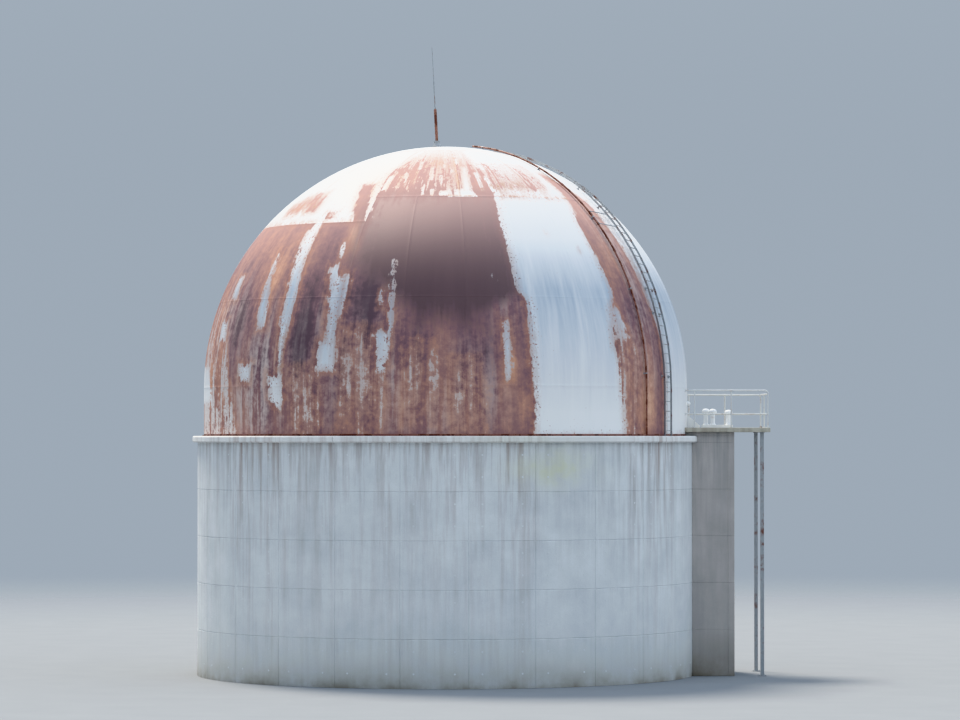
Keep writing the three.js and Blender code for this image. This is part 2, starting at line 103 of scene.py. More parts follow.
gores_low, gores_high = box_of("gore_")
ledge_low, ledge_high = box_of("ledge_")
wall_low, wall_high = box_of("drum_wall_")
AXIS_X = (gores_low.x + gores_high.x) / 2
DOME_RADIUS = (gores_high.x - gores_low.x) / 2
LEDGE_TOP = ledge_high.z
LEDGE_RADIUS = (ledge_high.x - ledge_low.x) / 2
WALL_TOP = ledge_low.z
WALL_RADIUS = (wall_high.x - wall_low.x) / 2
SPRING = box_of("crown_cap")[1].z - DOME_RADIUS
METRES_PER_DEGREE = math.radians(1) * DOME_RADIUS
FOOT_CLIMB = (LEDGE_TOP - SPRING) / METRES_PER_DEGREE
print(f"dome radius {DOME_RADIUS:.2f} m, springing line {SPRING:.2f} m, skirt foot at climb {FOOT_CLIMB:.2f}")

# %% [markdown]
# ## Camera
# The photograph was taken from far off, level with the ledge, so upright lines stay upright and the ledge
# shows as a straight line. The camera stands in that same place, 126 m in front of the axis. Its lens is
# longer than the photograph's, because there the dome fills only a fifth of the frame and its paint could
# not be judged.

# %% Place the camera
CAMERA_DISTANCE = 126
FRAME_SHARE = 0.87
SENSOR_WIDTH = 36
FRAME_ASPECT = 720 / 960

middle = (cad_low + cad_high) / 2
view_height = (cad_high.z - cad_low.z) / FRAME_SHARE
camera_data = bpy.data.cameras.new("main_camera")
camera_data.sensor_width = SENSOR_WIDTH
camera_data.lens = CAMERA_DISTANCE * SENSOR_WIDTH * FRAME_ASPECT / view_height
camera_data.clip_end = 2000
camera = bpy.data.objects.new("main_camera", camera_data)
bpy.context.scene.collection.objects.link(camera)
camera.location = (AXIS_X, -CAMERA_DISTANCE, LEDGE_TOP)
camera.rotation_euler = (middle - camera.location).to_track_quat("-Z", "Y").to_euler()
bpy.context.scene.camera = camera
print(f"lens {camera_data.lens:.1f} mm, aimed at height {middle.z:.2f} m")

# %% [markdown]
# ## Small tools
# Node materials are long because each node needs settings and links. One function adds a node of any kind:
# a socket is given either a value or another node's output. Short ones stand for nodes that come again
# and again. Colours are written as the sRGB hex values that a colour picker shows, and are turned into the
# linear values that Blender mixes with.

# %% Add a node, and turn a hex colour into a linear one
MIX_FACTOR, MIX_UNDER, MIX_OVER, MIX_RESULT = 0, 6, 7, 2


def colour(code):
    """A linear RGBA colour from an sRGB hex value."""
    channels = [(code >> shift & 255) / 255 for shift in (16, 8, 0)]
    linear = [c / 12.92 if c <= 0.04045 else ((c + 0.055) / 1.055) ** 2.4 for c in channels]
    return (*linear, 1.0)


def add_node(tree, kind, sockets=None, **settings):
    """Adds a node, gives it its settings, and fills or links its sockets."""
    node = tree.nodes.new(kind)
    for name, value in settings.items():
        setattr(node, name, value)
    for name, value in (sockets or {}).items():
        if isinstance(value, bpy.types.NodeSocket):
            tree.links.new(value, node.inputs[name])
        else:
            node.inputs[name].default_value = value
    return node


def noise(tree, place, scale, detail, roughness):
    """The grey value of a noise texture."""
    sockets = {"Vector": place, "Scale": scale, "Detail": detail, "Roughness": roughness}
    return add_node(tree, "ShaderNodeTexNoise", sockets).outputs["Fac"]


def maths(tree, operation, *numbers, **settings):
    """One sum on two or three numbers or outputs."""
    sockets = dict(enumerate(numbers))
    return add_node(tree, "ShaderNodeMath", sockets, operation=operation, **settings).outputs[0]


def span(tree, value, low, high, to_low=0, to_high=1, kind="LINEAR"):
    """A value mapped from one range to another, and held at its ends."""
    sockets = {"Value": value, "From Min": low, "From Max": high, "To Min": to_low, "To Max": to_high}
    return add_node(tree, "ShaderNodeMapRange", sockets, interpolation_type=kind).outputs[0]


def blend(tree, share, under, over):
    """Two colours mixed; each is an output or a hex value."""
    under, over = (colour(tone) if isinstance(tone, int) else tone for tone in (under, over))
    sockets = {MIX_FACTOR: share, MIX_UNDER: under, MIX_OVER: over}
    return add_node(tree, "ShaderNodeMix", sockets, data_type="RGBA").outputs[MIX_RESULT]


def mesh_field(tree, name, output="Fac"):
    """A field that is stored in the mesh."""
    return add_node(tree, "ShaderNodeAttribute", attribute_name=name).outputs[output]


def new_material(name):
    """An empty node material and its tree."""
    material = bpy.data.materials.new(name)
    material.use_nodes = True
    material.node_tree.nodes.clear()
    return material, material.node_tree


def object_place(tree):
    """A point's place in its object's own coordinates."""
    return add_node(tree, "ShaderNodeTexCoord").outputs["Object"]


def surface(tree, sockets, height, strength, distance, **settings):
    """Ends a material in one Principled shader with these sockets, over a bump made from height."""
    bump_sockets = {"Height": height, "Strength": strength, "Distance": distance}
    bump = add_node(tree, "ShaderNodeBump", bump_sockets, **settings)
    shader = add_node(tree, "ShaderNodeBsdfPrincipled", {**sockets, "Normal": bump.outputs["Normal"]})
    add_node(tree, "ShaderNodeOutputMaterial", {"Surface": shader.outputs["BSDF"]})


# %% [markdown]
# ## Studio
# The real dome was lit by a high sun behind its left shoulder, so its crown glared, its left flank was warm
# and its front lay in blue shade. A soft studio can say the same: one wide warm key from that direction, a
# weak and very wide fill on the right, and a sky that is bright overhead and pale blue at eye level. The
# sky's bright top also gives glossy plate its sheen. The neutral view transform keeps colours true and
# rolls off only the glare, so the white crown keeps its seams. The floor is a pale disc that fades into the
# sky's own horizon colour, so no hard edge shows from any side.

# %% Light the studio
HORIZON = 0x98A3AE
ZENITH = 0xDCE8F7
SKY_STRENGTH = 1.2

scene = bpy.context.scene
scene.view_settings.view_transform = "Khronos PBR Neutral"


def far_light(name, azimuth, elevation, strength, softness, code):
    """A distant light from an azimuth and an elevation; softness is its width in degrees."""
    light = bpy.data.lights.new(name, "SUN")
    light.energy = strength
    light.angle = math.radians(softness)
    light.color = colour(code)[:3]
    holder = bpy.data.objects.new(name, light)
    rise = math.radians(elevation)
    source = outward(azimuth) * math.cos(rise) + UP * math.sin(rise)
    holder.rotation_euler = source.to_track_quat("Z", "Y").to_euler()
    scene.collection.objects.link(holder)


far_light("key", -150, 60, 4.1, 18, 0xFFF3E2)
far_light("fill", 72, 28, 0.42, 70, 0xDCE8F7)

world = bpy.data.worlds.new("sky")
scene.world = world
world.use_nodes = True
sky = world.node_tree
sky.nodes.clear()
direction = add_node(sky, "ShaderNodeTexCoord").outputs["Generated"]
height = add_node(sky, "ShaderNodeSeparateXYZ", {0: direction}).outputs["Z"]
overhead = span(sky, height, 0.06, 0.6, kind="SMOOTHSTEP")
sky_colour = blend(sky, overhead, HORIZON, ZENITH)
sky_light = add_node(sky, "ShaderNodeBackground", {"Color": sky_colour, "Strength": SKY_STRENGTH}).outputs[0]
add_node(sky, "ShaderNodeOutputWorld", {"Surface": sky_light})

# %% Lay the floor
FLOOR_RADIUS = 400
FLOOR_SOLID = 30
FLOOR_GONE = 95
FLOOR_DROP = 0.004


def floor_material():
    """Pale screed that turns clear with distance from the building."""
    material, tree = new_material("pale_screed_floor")
    place = object_place(tree)
    reach = add_node(tree, "ShaderNodeVectorMath", {0: place}, operation="LENGTH").outputs["Value"]
    fade = span(tree, reach, FLOOR_SOLID, FLOOR_GONE, kind="SMOOTHSTEP")
    tone = blend(tree, noise(tree, place, 0.6, 6.0, 0.5), 0x909498, 0x969A9E)
    matt = add_node(tree, "ShaderNodeBsdfDiffuse", {"Color": tone}).outputs[0]
    clear = add_node(tree, "ShaderNodeBsdfTransparent").outputs[0]
    mixed = add_node(tree, "ShaderNodeMixShader", {0: fade, 1: matt, 2: clear}).outputs[0]
    add_node(tree, "ShaderNodeOutputMaterial", {"Surface": mixed})
    return material


floor_mesh = bmesh.new()
bmesh.ops.create_circle(floor_mesh, cap_ends=True, segments=96, radius=FLOOR_RADIUS)
floor_data = bpy.data.meshes.new("floor")
floor_mesh.to_mesh(floor_data)
floor_mesh.free()
floor = bpy.data.objects.new("floor", floor_data)
floor.location = (0, 0, -FLOOR_DROP)
floor_data.materials.append(floor_material())
scene.collection.objects.link(floor)

# %% [markdown]
# ## Paint as a map
# The paint is white alkyd over red oxide primer over steel. Where it has let go, its edge is a line on the
# sheet, so each sound or bare area is written down as an upright strip: rows of a climb, a left azimuth and
# a right azimuth, from the top down. What goes into the mesh is how far each point lies inside the nearest
# edge, in metres. That distance bends smoothly between points, so the material can cut it with noise into a
# torn edge much finer than the mesh. The strips cover the half of the dome that the photograph shows, and
# the far half repeats them.

# %% Write down the areas of sound and failed paint
# A fourth number in a row caps the depth there: near zero, paint and rust are mixed in flecks
SOLID = 9.0
WHITE_BAND = [(49.5, 17, 49.6), (45, 16.5, 46.6), (42, 16, 45.6), (40, 16, 45), (35, 16.5, 44.6),
              (30, 17, 45), (22, 17.5, 46), (20, 19.5, 45), (17, 20, 43.2), (10, 20.2, 42.6), (5, 20, 44),
              (-12, 20.3, 46)]
WHITE_FLANK = [(60, 56, 100), (52, 60.5, 98), (40, 59.6, 96), (20, 60.4, 94), (10, 62, 93), (-12, 62.5, 92)]
SOUND_STRIPS = [
    WHITE_BAND,
    WHITE_FLANK,
    # The long white run down the left, with a blot half way
    [(41.5, -43.3, -40.8), (38, -45, -40.7), (36, -45.1, -40.5), (30, -44.2, -40.5), (22, -43.3, -39),
     (15, -43, -39.5), (10, -42.3, -40.4), (5, -42.1, -41), (1, -41.9, -41.2)],
    [(2.5, -45, -40.5), (-3, -44.6, -40), (-5, -43, -41)],
    # The blue-white run beside it, which ends in a square patch
    [(28.6, -30.6, -29), (27, -31.4, -28), (24, -29.9, -26.3), (20, -29.6, -26), (16, -28.7, -26.4),
     (9.5, -28.5, -26.4)],
    [(9.8, -30.6, -26.2), (3.4, -31.1, -25.9)],
    [(26, -26.2, -24.6), (20, -26, -24.5), (16, -26, -25.2)],
    [(53, -27.3, -26.4), (50, -26.9, -25.8), (45, -25.5, -24.4), (41.5, -24.8, -23.8)],
    [(34.6, -29.7, -28.8), (33, -30.1, -28), (31, -29.4, -28.1)],
    # Short runs and scabs on the far left
    [(33, -52.9, -52), (26, -52.2, -51.2), (20.5, -52, -49.2), (17, -52, -48), (13.6, -50.4, -48)],
    [(26.5, -69.2, -66.2), (21, -68.4, -65)],
    [(15.5, -70.4, -66.4), (10.6, -69.4, -65)],
    [(5.4, -95, -76), (1, -96, -73), (-4.5, -94, -71)],
    [(5, -56.3, -51.2), (1, -55.4, -51.8)],
    # Thin runs on the bare middle plate
    [(30, -13.8, -13.2), (20, -14, -13), (12.6, -13.3, -12.8)],
    [(22, -16.1, -15.4), (18, -15.8, -15.2)],
    [(12.4, -17, -13.4), (8, -16.2, -12.9), (3, -15.8, -14)],
    [(14.4, 13.2, 14.4), (8, 13, 15), (1.6, 13.8, 14.8)],
    [(26.2, 11.6, 12.4), (24, 11.5, 12.5)],
    # Broken scabs low on the dome, more rust than paint
    [(13, -25, -15, -0.1), (0, -24, -14, -0.05), (-12, -25, -16, -0.12)],
    [(10, -10, -3, -0.12), (1, -9, -2, -0.05), (-8, -9, -3, -0.12)],
    [(6, 1, 7, -0.1), (-3, 1, 8, -0.06), (-12, 2, 8, -0.12)],
    [(4, -38, -31, -0.1), (-6, -37, -30, -0.03), (-12, -36, -30, -0.1)],
    [(11, -72, -65, -0.06), (2, -72, -61, 0.0), (-12, -71, -57, 0.02)],
    [(20, -75, -69, -0.1), (4, -77, -70, -0.04)],
    [(26, -88, -76, -0.12), (10, -88, -71, 0.0), (-6, -88, -69.5, 0.05), (-12, -88, -70, 0.0)],
    # Thin paint along the left of the right-hand rust band
    [(18, 42, 46, 0.1), (6, 43, 50.5, -0.08), (-12, 44, 52, -0.04)],
]
BARE_STRIPS = [
    # The brown fan above the middle plate, which thins towards the top, and the tongue beside it
    [(74, -14, 10, -0.12), (69, -19, 12, -0.06), (64, -23, 14, 0.0), (58, -26, 17.6, 0.035),
     (52, -24.6, 18, 0.05), (49, -25.2, 17, 0.15)],
    [(54.6, -34.4, -29.4, 0.05), (50, -33, -28, 0.16), (46, -31.5, -26.6, 0.3), (42, -29.6, -25.6, 0.4),
     (40.5, -29, -25, 0.5)],
    # The upper end of the right-hand rust band
    [(60, 50, 53, 0.0), (54, 50, 57.4, 0.12), (50, 49.6, 59.4, 0.3), (48, 48.4, 60, 0.6)],
    # Streaks and flecks on the crown
    [(50.4, -62, -59.4, -0.04), (46.6, -63.6, -58.4, 0.01), (44.8, -62, -58.6, -0.05)],
    [(48.2, -68.4, -66, -0.03), (45.6, -67.6, -64.6, 0.0), (44.4, -66.4, -64.8, -0.05)],
    [(51.4, -57.6, -55.6, -0.03), (48.6, -57.8, -54.4, 0.0), (46.4, -56.6, -54.6, -0.06)],
    [(51.6, -54.6, -50, -0.02), (45, -53, -48, 0.05)],
    [(44, -41, -38, 0.03), (42, -40.4, -38, 0.03)],
    [(64, 16, 44, -0.1), (58, 17.5, 44, -0.02), (53, 18.5, 42, -0.02), (50.4, 20, 40, -0.12)],
]
SOUND_FLECKS = [
    [(57, -9.6, -8.6), (53, -9.2, -8.2), (49.6, -8.8, -7.6)],
    [(52.4, -5.6, -4.4), (49.4, -5.4, -4.4)],
    [(62.6, -7.4, -5.4), (56, -6.6, -5.2)],
    [(58, -2.6, -1.4), (54, -2.2, -1.2)],
    [(52.4, 0.6, 1.6), (49, 0.9, 2.6)],
    [(51.4, -2.4, 1), (49.6, -2.6, 1.2)],
    [(52, 3.4, 9.6), (49.2, 2.8, 11.4)],
    [(62.6, 7.6, 10.4), (57, 6.6, 10), (51.4, 6.4, 9.6)],
    [(61.4, 2.2, 4.2), (59.6, 2.4, 4)],
    [(58.4, -25.4, -22.6), (52, -25.2, -23.2)],
    [(59.6, -18.6, -17), (55, -17.6, -16.4)],
    [(66, -15, -12.6), (61, -13.4, -11.8)],
    [(60, 12.4, 14.8), (53, 12.8, 14.4)],
    [(58, 15.6, 18.6), (51, 17, 19)],
    [(64.6, -1.4, 0.4), (62, -1.2, 0)],
    [(68, 4, 8), (64, 4.4, 6.6)],
]
FLECK_FIRMNESS = 2.5


def strip_depth(azimuth, climb, rows):
    """How far inside an upright strip each point is, in metres; outside it the depth is negative."""
    levels, lefts, rights, caps = np.array([(*row, SOLID)[:4] for row in rows], float)[::-1].T
    left = np.interp(climb, levels, lefts)
    right = np.interp(climb, levels, rights)
    squeeze = np.cos(np.radians(np.clip(climb, 0, 90)))
    across = np.minimum(azimuth - left, right - azimuth) * squeeze
    along = np.minimum(climb - levels[0], levels[-1] - climb)
    depth = np.minimum(across, along) * METRES_PER_DEGREE
    return np.minimum(depth, np.interp(climb, levels, caps))


def deepest(azimuth, climb, strips):
    """The greatest depth in any of the strips, which repeat every half turn."""
    folded = (azimuth + 90) % 180 - 90
    depths = [strip_depth(folded + shift, climb, rows) for rows in strips for shift in (-180, 0, 180)]
    return np.maximum.reduce(depths)


def top_seam(azimuth):
    """The climb of the seam under the crown plates, which steps from one quarter to the next."""
    quarter = np.floor((azimuth - FIRST_SEAM) / 90) % 4
    return np.where(quarter % 2 == 0, HIGH_SEAM, LOW_SEAM)


def paint_depth(azimuth, climb):
    """How far inside sound white paint each point is, in metres."""
    depth = (climb - top_seam(azimuth)) * METRES_PER_DEGREE
    depth = np.maximum(depth, deepest(azimuth, climb, SOUND_STRIPS))
    depth = np.minimum(depth, -deepest(azimuth, climb, BARE_STRIPS))
    return np.maximum(depth, deepest(azimuth, climb, SOUND_FLECKS) * FLECK_FIRMNESS)


front = np.array([-41.5, 30.0, 53.0, 0.0])
print("paint depth at four places of the front:", np.round(paint_depth(front, np.full(4, 30.0)), 2))

# %% [markdown]
# Rust is not one colour. Fresh runs are orange, old scale is purple-brown, and the middle plate still has
# its smooth dark primer. A few soft blots of warmth, each with a place and a reach, carry that, and one
# more strip outlines the primer.

# %% Write down the tints of the bare steel
# Each blot is an azimuth, a climb, its reach across and along in degrees, and its strength
WARM_BLOTS = [
    (-27.4, 37.5, 1.8, 3.6, 1.0), (-25.2, 33.5, 1.3, 3.0, 0.7), (-48.6, 27, 2.2, 6, 0.9),
    (-60, 46.6, 5, 2, 0.9), (-65, 36, 9, 5, 0.35), (-46, 37, 5, 3, 0.35), (-63, -1, 3.6, 5, 0.9),
    (-66, 8, 3, 4, 0.5), (-71, 20, 3, 12, 0.35), (15, 4.5, 1.4, 3.4, 0.9), (18, -5, 1.6, 4, 0.7),
    (54, 45, 5, 8, 1.0), (52, 31, 4, 7, 0.6), (54, -5, 5, 6, 0.7), (56, 6, 3, 8, 0.4),
    (-1.6, 37, 2, 7, 0.3), (-18, 57, 6, 4, 0.5), (14, 56, 3, 4, 0.5), (-31, 48, 2, 5, 0.4),
    (-80, 8, 6, 6, 0.35), (-58, 16, 5, 7, -0.75), (-35.5, 11, 3.6, 9, -1.1), (-20, 20, 5, 8, -0.7),
    (2, 22, 12, 6, -0.6), (52, 17, 5, 5, -0.3), (44, 12, 1, 5, -0.9), (-37, 24, 3, 4, -0.4),
    (-24, 4, 2.4, 7, -0.6), (-48, 6, 4, 6, -0.5), (-68, 22, 3, 6, -0.4), (-8, 8, 5, 6, -0.4),
    (8, 8, 4, 6, -0.4), (52, 4, 2, 8, 0.25), (-73, 0, 3, 7, 0.7), (-55, -6, 4, 5, 0.4),
    (-12, -4, 3, 5, 0.35), (3, -8, 4, 4, 0.3),
]
# Where rust from above has washed over sound paint
WASH_BLOTS = [
    (-16, 58, 9, 7, 0.3), (6, 58, 9, 6, 0.22), (-4, 66, 14, 5, 0.3), (30, 54, 13, 2.6, 0.35),
    (-59, 47, 9, 3, 0.7), (53, 54, 4, 5, 0.7), (-30, 50, 2, 6, 0.6), (18, 54, 3, 5, 0.5),
    (70, 45, 7, 3, 0.25), (-41.5, 8, 1.5, 6, 0.5), (-86, 6, 8, 5, 0.3), (62, 30, 2, 12, 0.3),
    (-76, 42, 9, 1.2, 0.2), (30.2, 37.6, 1.2, 0.9, 0.4), (39.2, 33, 0.8, 1.1, 0.4),
]
# Where chalk from the failing paint lies over the rust
CHALK_BLOTS = [
    (-18, 2, 9, 10, 0.8), (-5, -4, 8, 9, 0.7), (6, -2, 7, 9, 0.7), (-34, -5, 6, 7, 0.9),
    (-50, 2, 8, 9, 0.5), (-66, -6, 9, 8, 0.8), (-74, 12, 5, 14, 0.6), (-69, 3, 5, 9, 1.4),
    (-50, -6, 7, 6, 1.1), (-46, 4, 9, 7, 0.6), (-64, 18, 8, 9, 0.5), (-72, 6, 4, 12, 0.8),
    (55, 47, 4, 9, 1.1), (54.5, 36, 4, 8, 1.0), (54.5, 22, 4, 10, 0.6), (54, 6, 4, 10, 0.5),
    (48, 0, 4, 12, 1.0), (44, 24, 1.5, 16, 0.4), (-14, 24, 3, 10, 0.4), (14, 20, 3, 10, 0.5),
    (-47, 14, 4, 8, 0.4), (-30, 14, 6, 6, 0.4),
]
# Where the paint's edge is clean
CALM_BLOTS = [(32, 34, 22, 16, 0.65), (62, 30, 4, 24, 0.3)]
PRIMER = [(49.4, -25, 17.4), (41, -24.6, 16.4), (30, -24, 17.4), (26, -19, 18), (22, -13, 18.6), (19, -9, 12),
          (16, -5, 5)]
SEAM_CALM_REACH = 0.25


def blots(azimuth, climb, table):
    """The sum of a table's blots at each point."""
    folded = (azimuth + 90) % 180 - 90
    total = np.zeros_like(folded)
    for at_azimuth, at_climb, across, along, strength in table:
        for shift in (-180, 0, 180):
            far = ((folded + shift - at_azimuth) / across) ** 2 + ((climb - at_climb) / along) ** 2
            total += strength * np.exp(-far)
    return total


def raggedness(azimuth, climb):
    """How far noise may tear the paint's edge: least along the seam under the crown plates."""
    to_seam = (climb - top_seam(azimuth)) * METRES_PER_DEGREE
    calm = np.maximum(blots(azimuth, climb, CALM_BLOTS), 0.9 * np.exp(-((to_seam / SEAM_CALM_REACH) ** 2)))
    return 1 - calm


# %% [markdown]
# ## Plates and welds
# A dome like this is built from rolled plates about two metres wide, welded edge to edge into gores, with
# wider plates over the shoulder and one dished plate on top. Welds shrink as they cool, so the sheet is
# drawn in a few millimetres along each one, and each keeps its raised bead. That is what makes long
# reflections on such a dome ripple. Each plate here is a grid of points with more lines at the welds. It is
# closed behind by a second grid one plate thickness further in, and a mask of cells leaves an opening where
# the hatch goes.

# %% Turn two grids of points into one closed plate
SHARP_ANGLE = math.radians(35)


def link_piece(piece, replaced=()):
    """Adds a piece to the scene, on the one body that the part has."""
    scene.collection.objects.link(piece)
    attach(piece, "root")
    if replaced:
        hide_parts(*replaced)
    return piece


def shade(mesh):
    """Smooth shading, broken only where faces meet at a sharp angle."""
    mesh.polygons.foreach_set("use_smooth", [True] * len(mesh.polygons))
    mesh.set_sharp_from_angle(angle=SHARP_ANGLE)


def write_field(mesh, name, values):
    """Stores a number for each point of a mesh."""
    numbers = np.ascontiguousarray(values, np.float32)
    mesh.attributes.new(name, "FLOAT", "POINT").data.foreach_set("value", numbers)


def slab(name, outer, inner, cells, wraps=False):
    """A closed sheet between two grids of points; cells says which cells of the grid are there."""
    rows, columns = outer.shape[:2]
    points = np.concatenate([outer.reshape(-1, 3), inner.reshape(-1, 3)])
    behind = rows * columns
    faces = []
    for row, column in np.argwhere(cells):
        corners = [(row, column), (row, column + 1), (row + 1, column + 1), (row + 1, column)]
        beyond = [(row - 1, column), (row, column + 1), (row + 1, column), (row, column - 1)]
        ring = [int(r * columns + c) for r, c in corners]
        faces.append(ring)
        faces.append([index + behind for index in reversed(ring)])
        for side, (r, c) in enumerate(beyond):
            c = c % cells.shape[1] if wraps else c
            inside = 0 <= r < cells.shape[0] and 0 <= c < cells.shape[1]
            if not (inside and cells[r, c]):
                start, end = ring[side], ring[(side + 1) % 4]
                faces.append([end, start, start + behind, end + behind])
    mesh = bpy.data.meshes.new(name)
    mesh.from_pydata(points.tolist(), [], faces)
    return mesh


def merge_doubles(mesh):
    """Joins points that lie on each other, as on a wrapped seam or at the pole."""
    work = bmesh.new()
    work.from_mesh(mesh)
    bmesh.ops.remove_doubles(work, verts=work.verts, dist=1e-5)
    bmesh.ops.recalc_face_normals(work, faces=work.faces)
    loose = [vert for vert in work.verts if not vert.link_faces]
    bmesh.ops.delete(work, geom=loose, context="VERTS")
    work.to_mesh(mesh)
    work.free()


# %% Place points on the dome and shape its welds
GRID_STEP = 0.75
GORE_WELD_EVERY = 15
CROWN_WELD_EVERY = 30
COURSE_WELD = 20.5
BEAD_HEIGHT = 0.002
BEAD_HALF = math.degrees(0.014 / DOME_RADIUS)
PULL_DEPTH = 0.002
PULL_REACH = 0.24
DISH = 0.004
DISH_WAVES = (24, 9)
WELD_RUST_REACH = 0.03


def shell_points(azimuth, climb, radius):
    """Points of the sheet at azimuths and climbs in degrees."""
    latitude = np.radians(np.maximum(climb, 0))
    drop = np.minimum(climb, 0) * METRES_PER_DEGREE
    flat = radius * np.cos(latitude)
    around = np.radians(azimuth)
    x = AXIS_X + flat * np.sin(around)
    y = -flat * np.cos(around)
    z = SPRING + radius * np.sin(latitude) + drop
    return np.stack([x, y, z], axis=-1)


def grid_lines(start, stop, marks, half, step=GRID_STEP):
    """Even lines from start to stop, and a close group of five at each mark."""
    close = [mark + share * half for mark in marks for share in (-1, -0.5, 0, 0.5, 1)]
    even = np.linspace(start, stop, round((stop - start) / step) + 1)[1:-1]
    clear = [line for line in even if all(abs(line - mark) > 2 * half for mark in marks)]
    inside = [line for line in close if start < line < stop]
    return np.array(sorted({start, stop, *clear, *inside}))


def narrowing(climb):
    """How much shorter a degree round the dome is at a climb than at the springing line."""
    return np.cos(np.radians(np.clip(climb, 0, 89)))


def weld_gaps(azimuth, climb, weld_every, girths):
    """The degrees from each point to the nearest upright weld and to the nearest level one."""
    to_weld = np.abs((azimuth - FIRST_SEAM + weld_every / 2) % weld_every - weld_every / 2)
    to_girth = np.minimum.reduce([np.abs(climb - girth) for girth in girths])
    return to_weld, to_girth


def nearness(azimuth, climb, gaps, reach):
    """One on a weld, and fading away from it over a reach in metres."""
    to_weld, to_girth = gaps
    metres = np.minimum(to_weld * narrowing(climb), to_girth) * METRES_PER_DEGREE
    return np.exp(-((metres / reach) ** 2))


def relief(azimuth, climb, gaps):
    """How far the sheet stands out from a true sphere: beads, the pull of the welds, and dished plates."""
    beads = [np.sqrt(np.clip(1 - (gap / BEAD_HALF) ** 2, 0, None)) for gap in gaps]
    pull = nearness(azimuth, climb, gaps, PULL_REACH)
    across, along = azimuth * DISH_WAVES[0] + 40, climb * DISH_WAVES[1] + 65
    dish = np.sin(np.radians(across)) * np.sin(np.radians(along)) * narrowing(climb)
    return BEAD_HEIGHT * np.maximum(*beads) - PULL_DEPTH * pull + DISH * dish


def dome_plate(name, azimuths, climbs, weld_every, girths, opening=None, wraps=False):
    """One plate of the dome, with the paint map in its mesh."""
    climb, azimuth = np.meshgrid(climbs, azimuths, indexing="ij")
    gaps = weld_gaps(azimuth, climb, weld_every, girths)
    outer = shell_points(azimuth, climb, DOME_RADIUS + relief(azimuth, climb, gaps))
    inner = shell_points(azimuth, climb, DOME_RADIUS - PLATE - PULL_DEPTH)
    cells = np.ones((len(climbs) - 1, len(azimuths) - 1), bool)
    if opening:
        left, right, bottom, top = opening
        middle_azimuth = (azimuths[:-1] + azimuths[1:]) / 2
        middle_climb = (climbs[:-1] + climbs[1:]) / 2
        across = (middle_azimuth > left) & (middle_azimuth < right)
        along = (middle_climb > bottom) & (middle_climb < top)
        cells &= ~np.outer(along, across)
    mesh = slab(name, outer, inner, cells, wraps)
    around = np.radians(azimuth)
    height = (climb - FOOT_CLIMB) * METRES_PER_DEGREE
    run = [DOME_RADIUS * np.sin(around), -DOME_RADIUS * np.cos(around), height]
    fields = {
        "paint_depth": paint_depth(azimuth, climb),
        "primer_depth": deepest(azimuth, climb, [PRIMER]),
        "ragged": raggedness(azimuth, climb),
        "warmth": blots(azimuth, climb, WARM_BLOTS),
        "wash": blots(azimuth, climb, WASH_BLOTS),
        "chalk": blots(azimuth, climb, CHALK_BLOTS),
        "weld_rust": nearness(azimuth, climb, gaps, WELD_RUST_REACH) * (climb > HIGH_SEAM),
    }
    for field, values in fields.items():
        write_field(mesh, field, np.tile(values.ravel(), 2))
    paired = np.tile(np.stack(run, axis=-1).reshape(-1, 3), (2, 1)).astype(np.float32)
    mesh.attributes.new("run", "FLOAT_VECTOR", "POINT").data.foreach_set("vector", paired.ravel())
    merge_doubles(mesh)
    shade(mesh)
    return bpy.data.objects.new(name, mesh)


# %% [markdown]
# ## Weathered paint on steel plate
# Alkyd paint on steel chalks in the sun, then blisters where water gets to the primer, and lets go in
# flakes. Rust then washes down in runs. The eye reads it by three scales: areas metres long with torn
# edges, runs a hand wide, and specks. Noise that is stretched ten to one along the fall of water tears the
# paint depth at the first two scales, and a fine one adds the specks. Paint keeps a satin gloss, primer
# keeps more of it, and rust has none.

# %% Make the paint and rust
PAINT_IOR = 1.5
PIT_DEPTH = 0.004
BROAD_SQUEEZE = 0.09
THIN_SQUEEZE = 0.05
EDGE_SOFTNESS = 0.014
RUST_STOPS = [(0.18, 0x5C4B54), (0.35, 0x7F6168), (0.53, 0xA07973), (0.71, 0xC0917D), (0.88, 0xDFB092)]


def rust_colour(tree, tone):
    """The colours of rust, from old purple scale through red-brown to orange wash."""
    rust = add_node(tree, "ShaderNodeValToRGB", {"Fac": tone})
    ramp = rust.color_ramp
    for element, (position, code) in zip(ramp.elements, (RUST_STOPS[0], RUST_STOPS[-1])):
        element.position, element.color = position, colour(code)
    for position, code in RUST_STOPS[1:-1]:
        ramp.elements.new(position).color = colour(code)
    return rust.outputs["Color"]


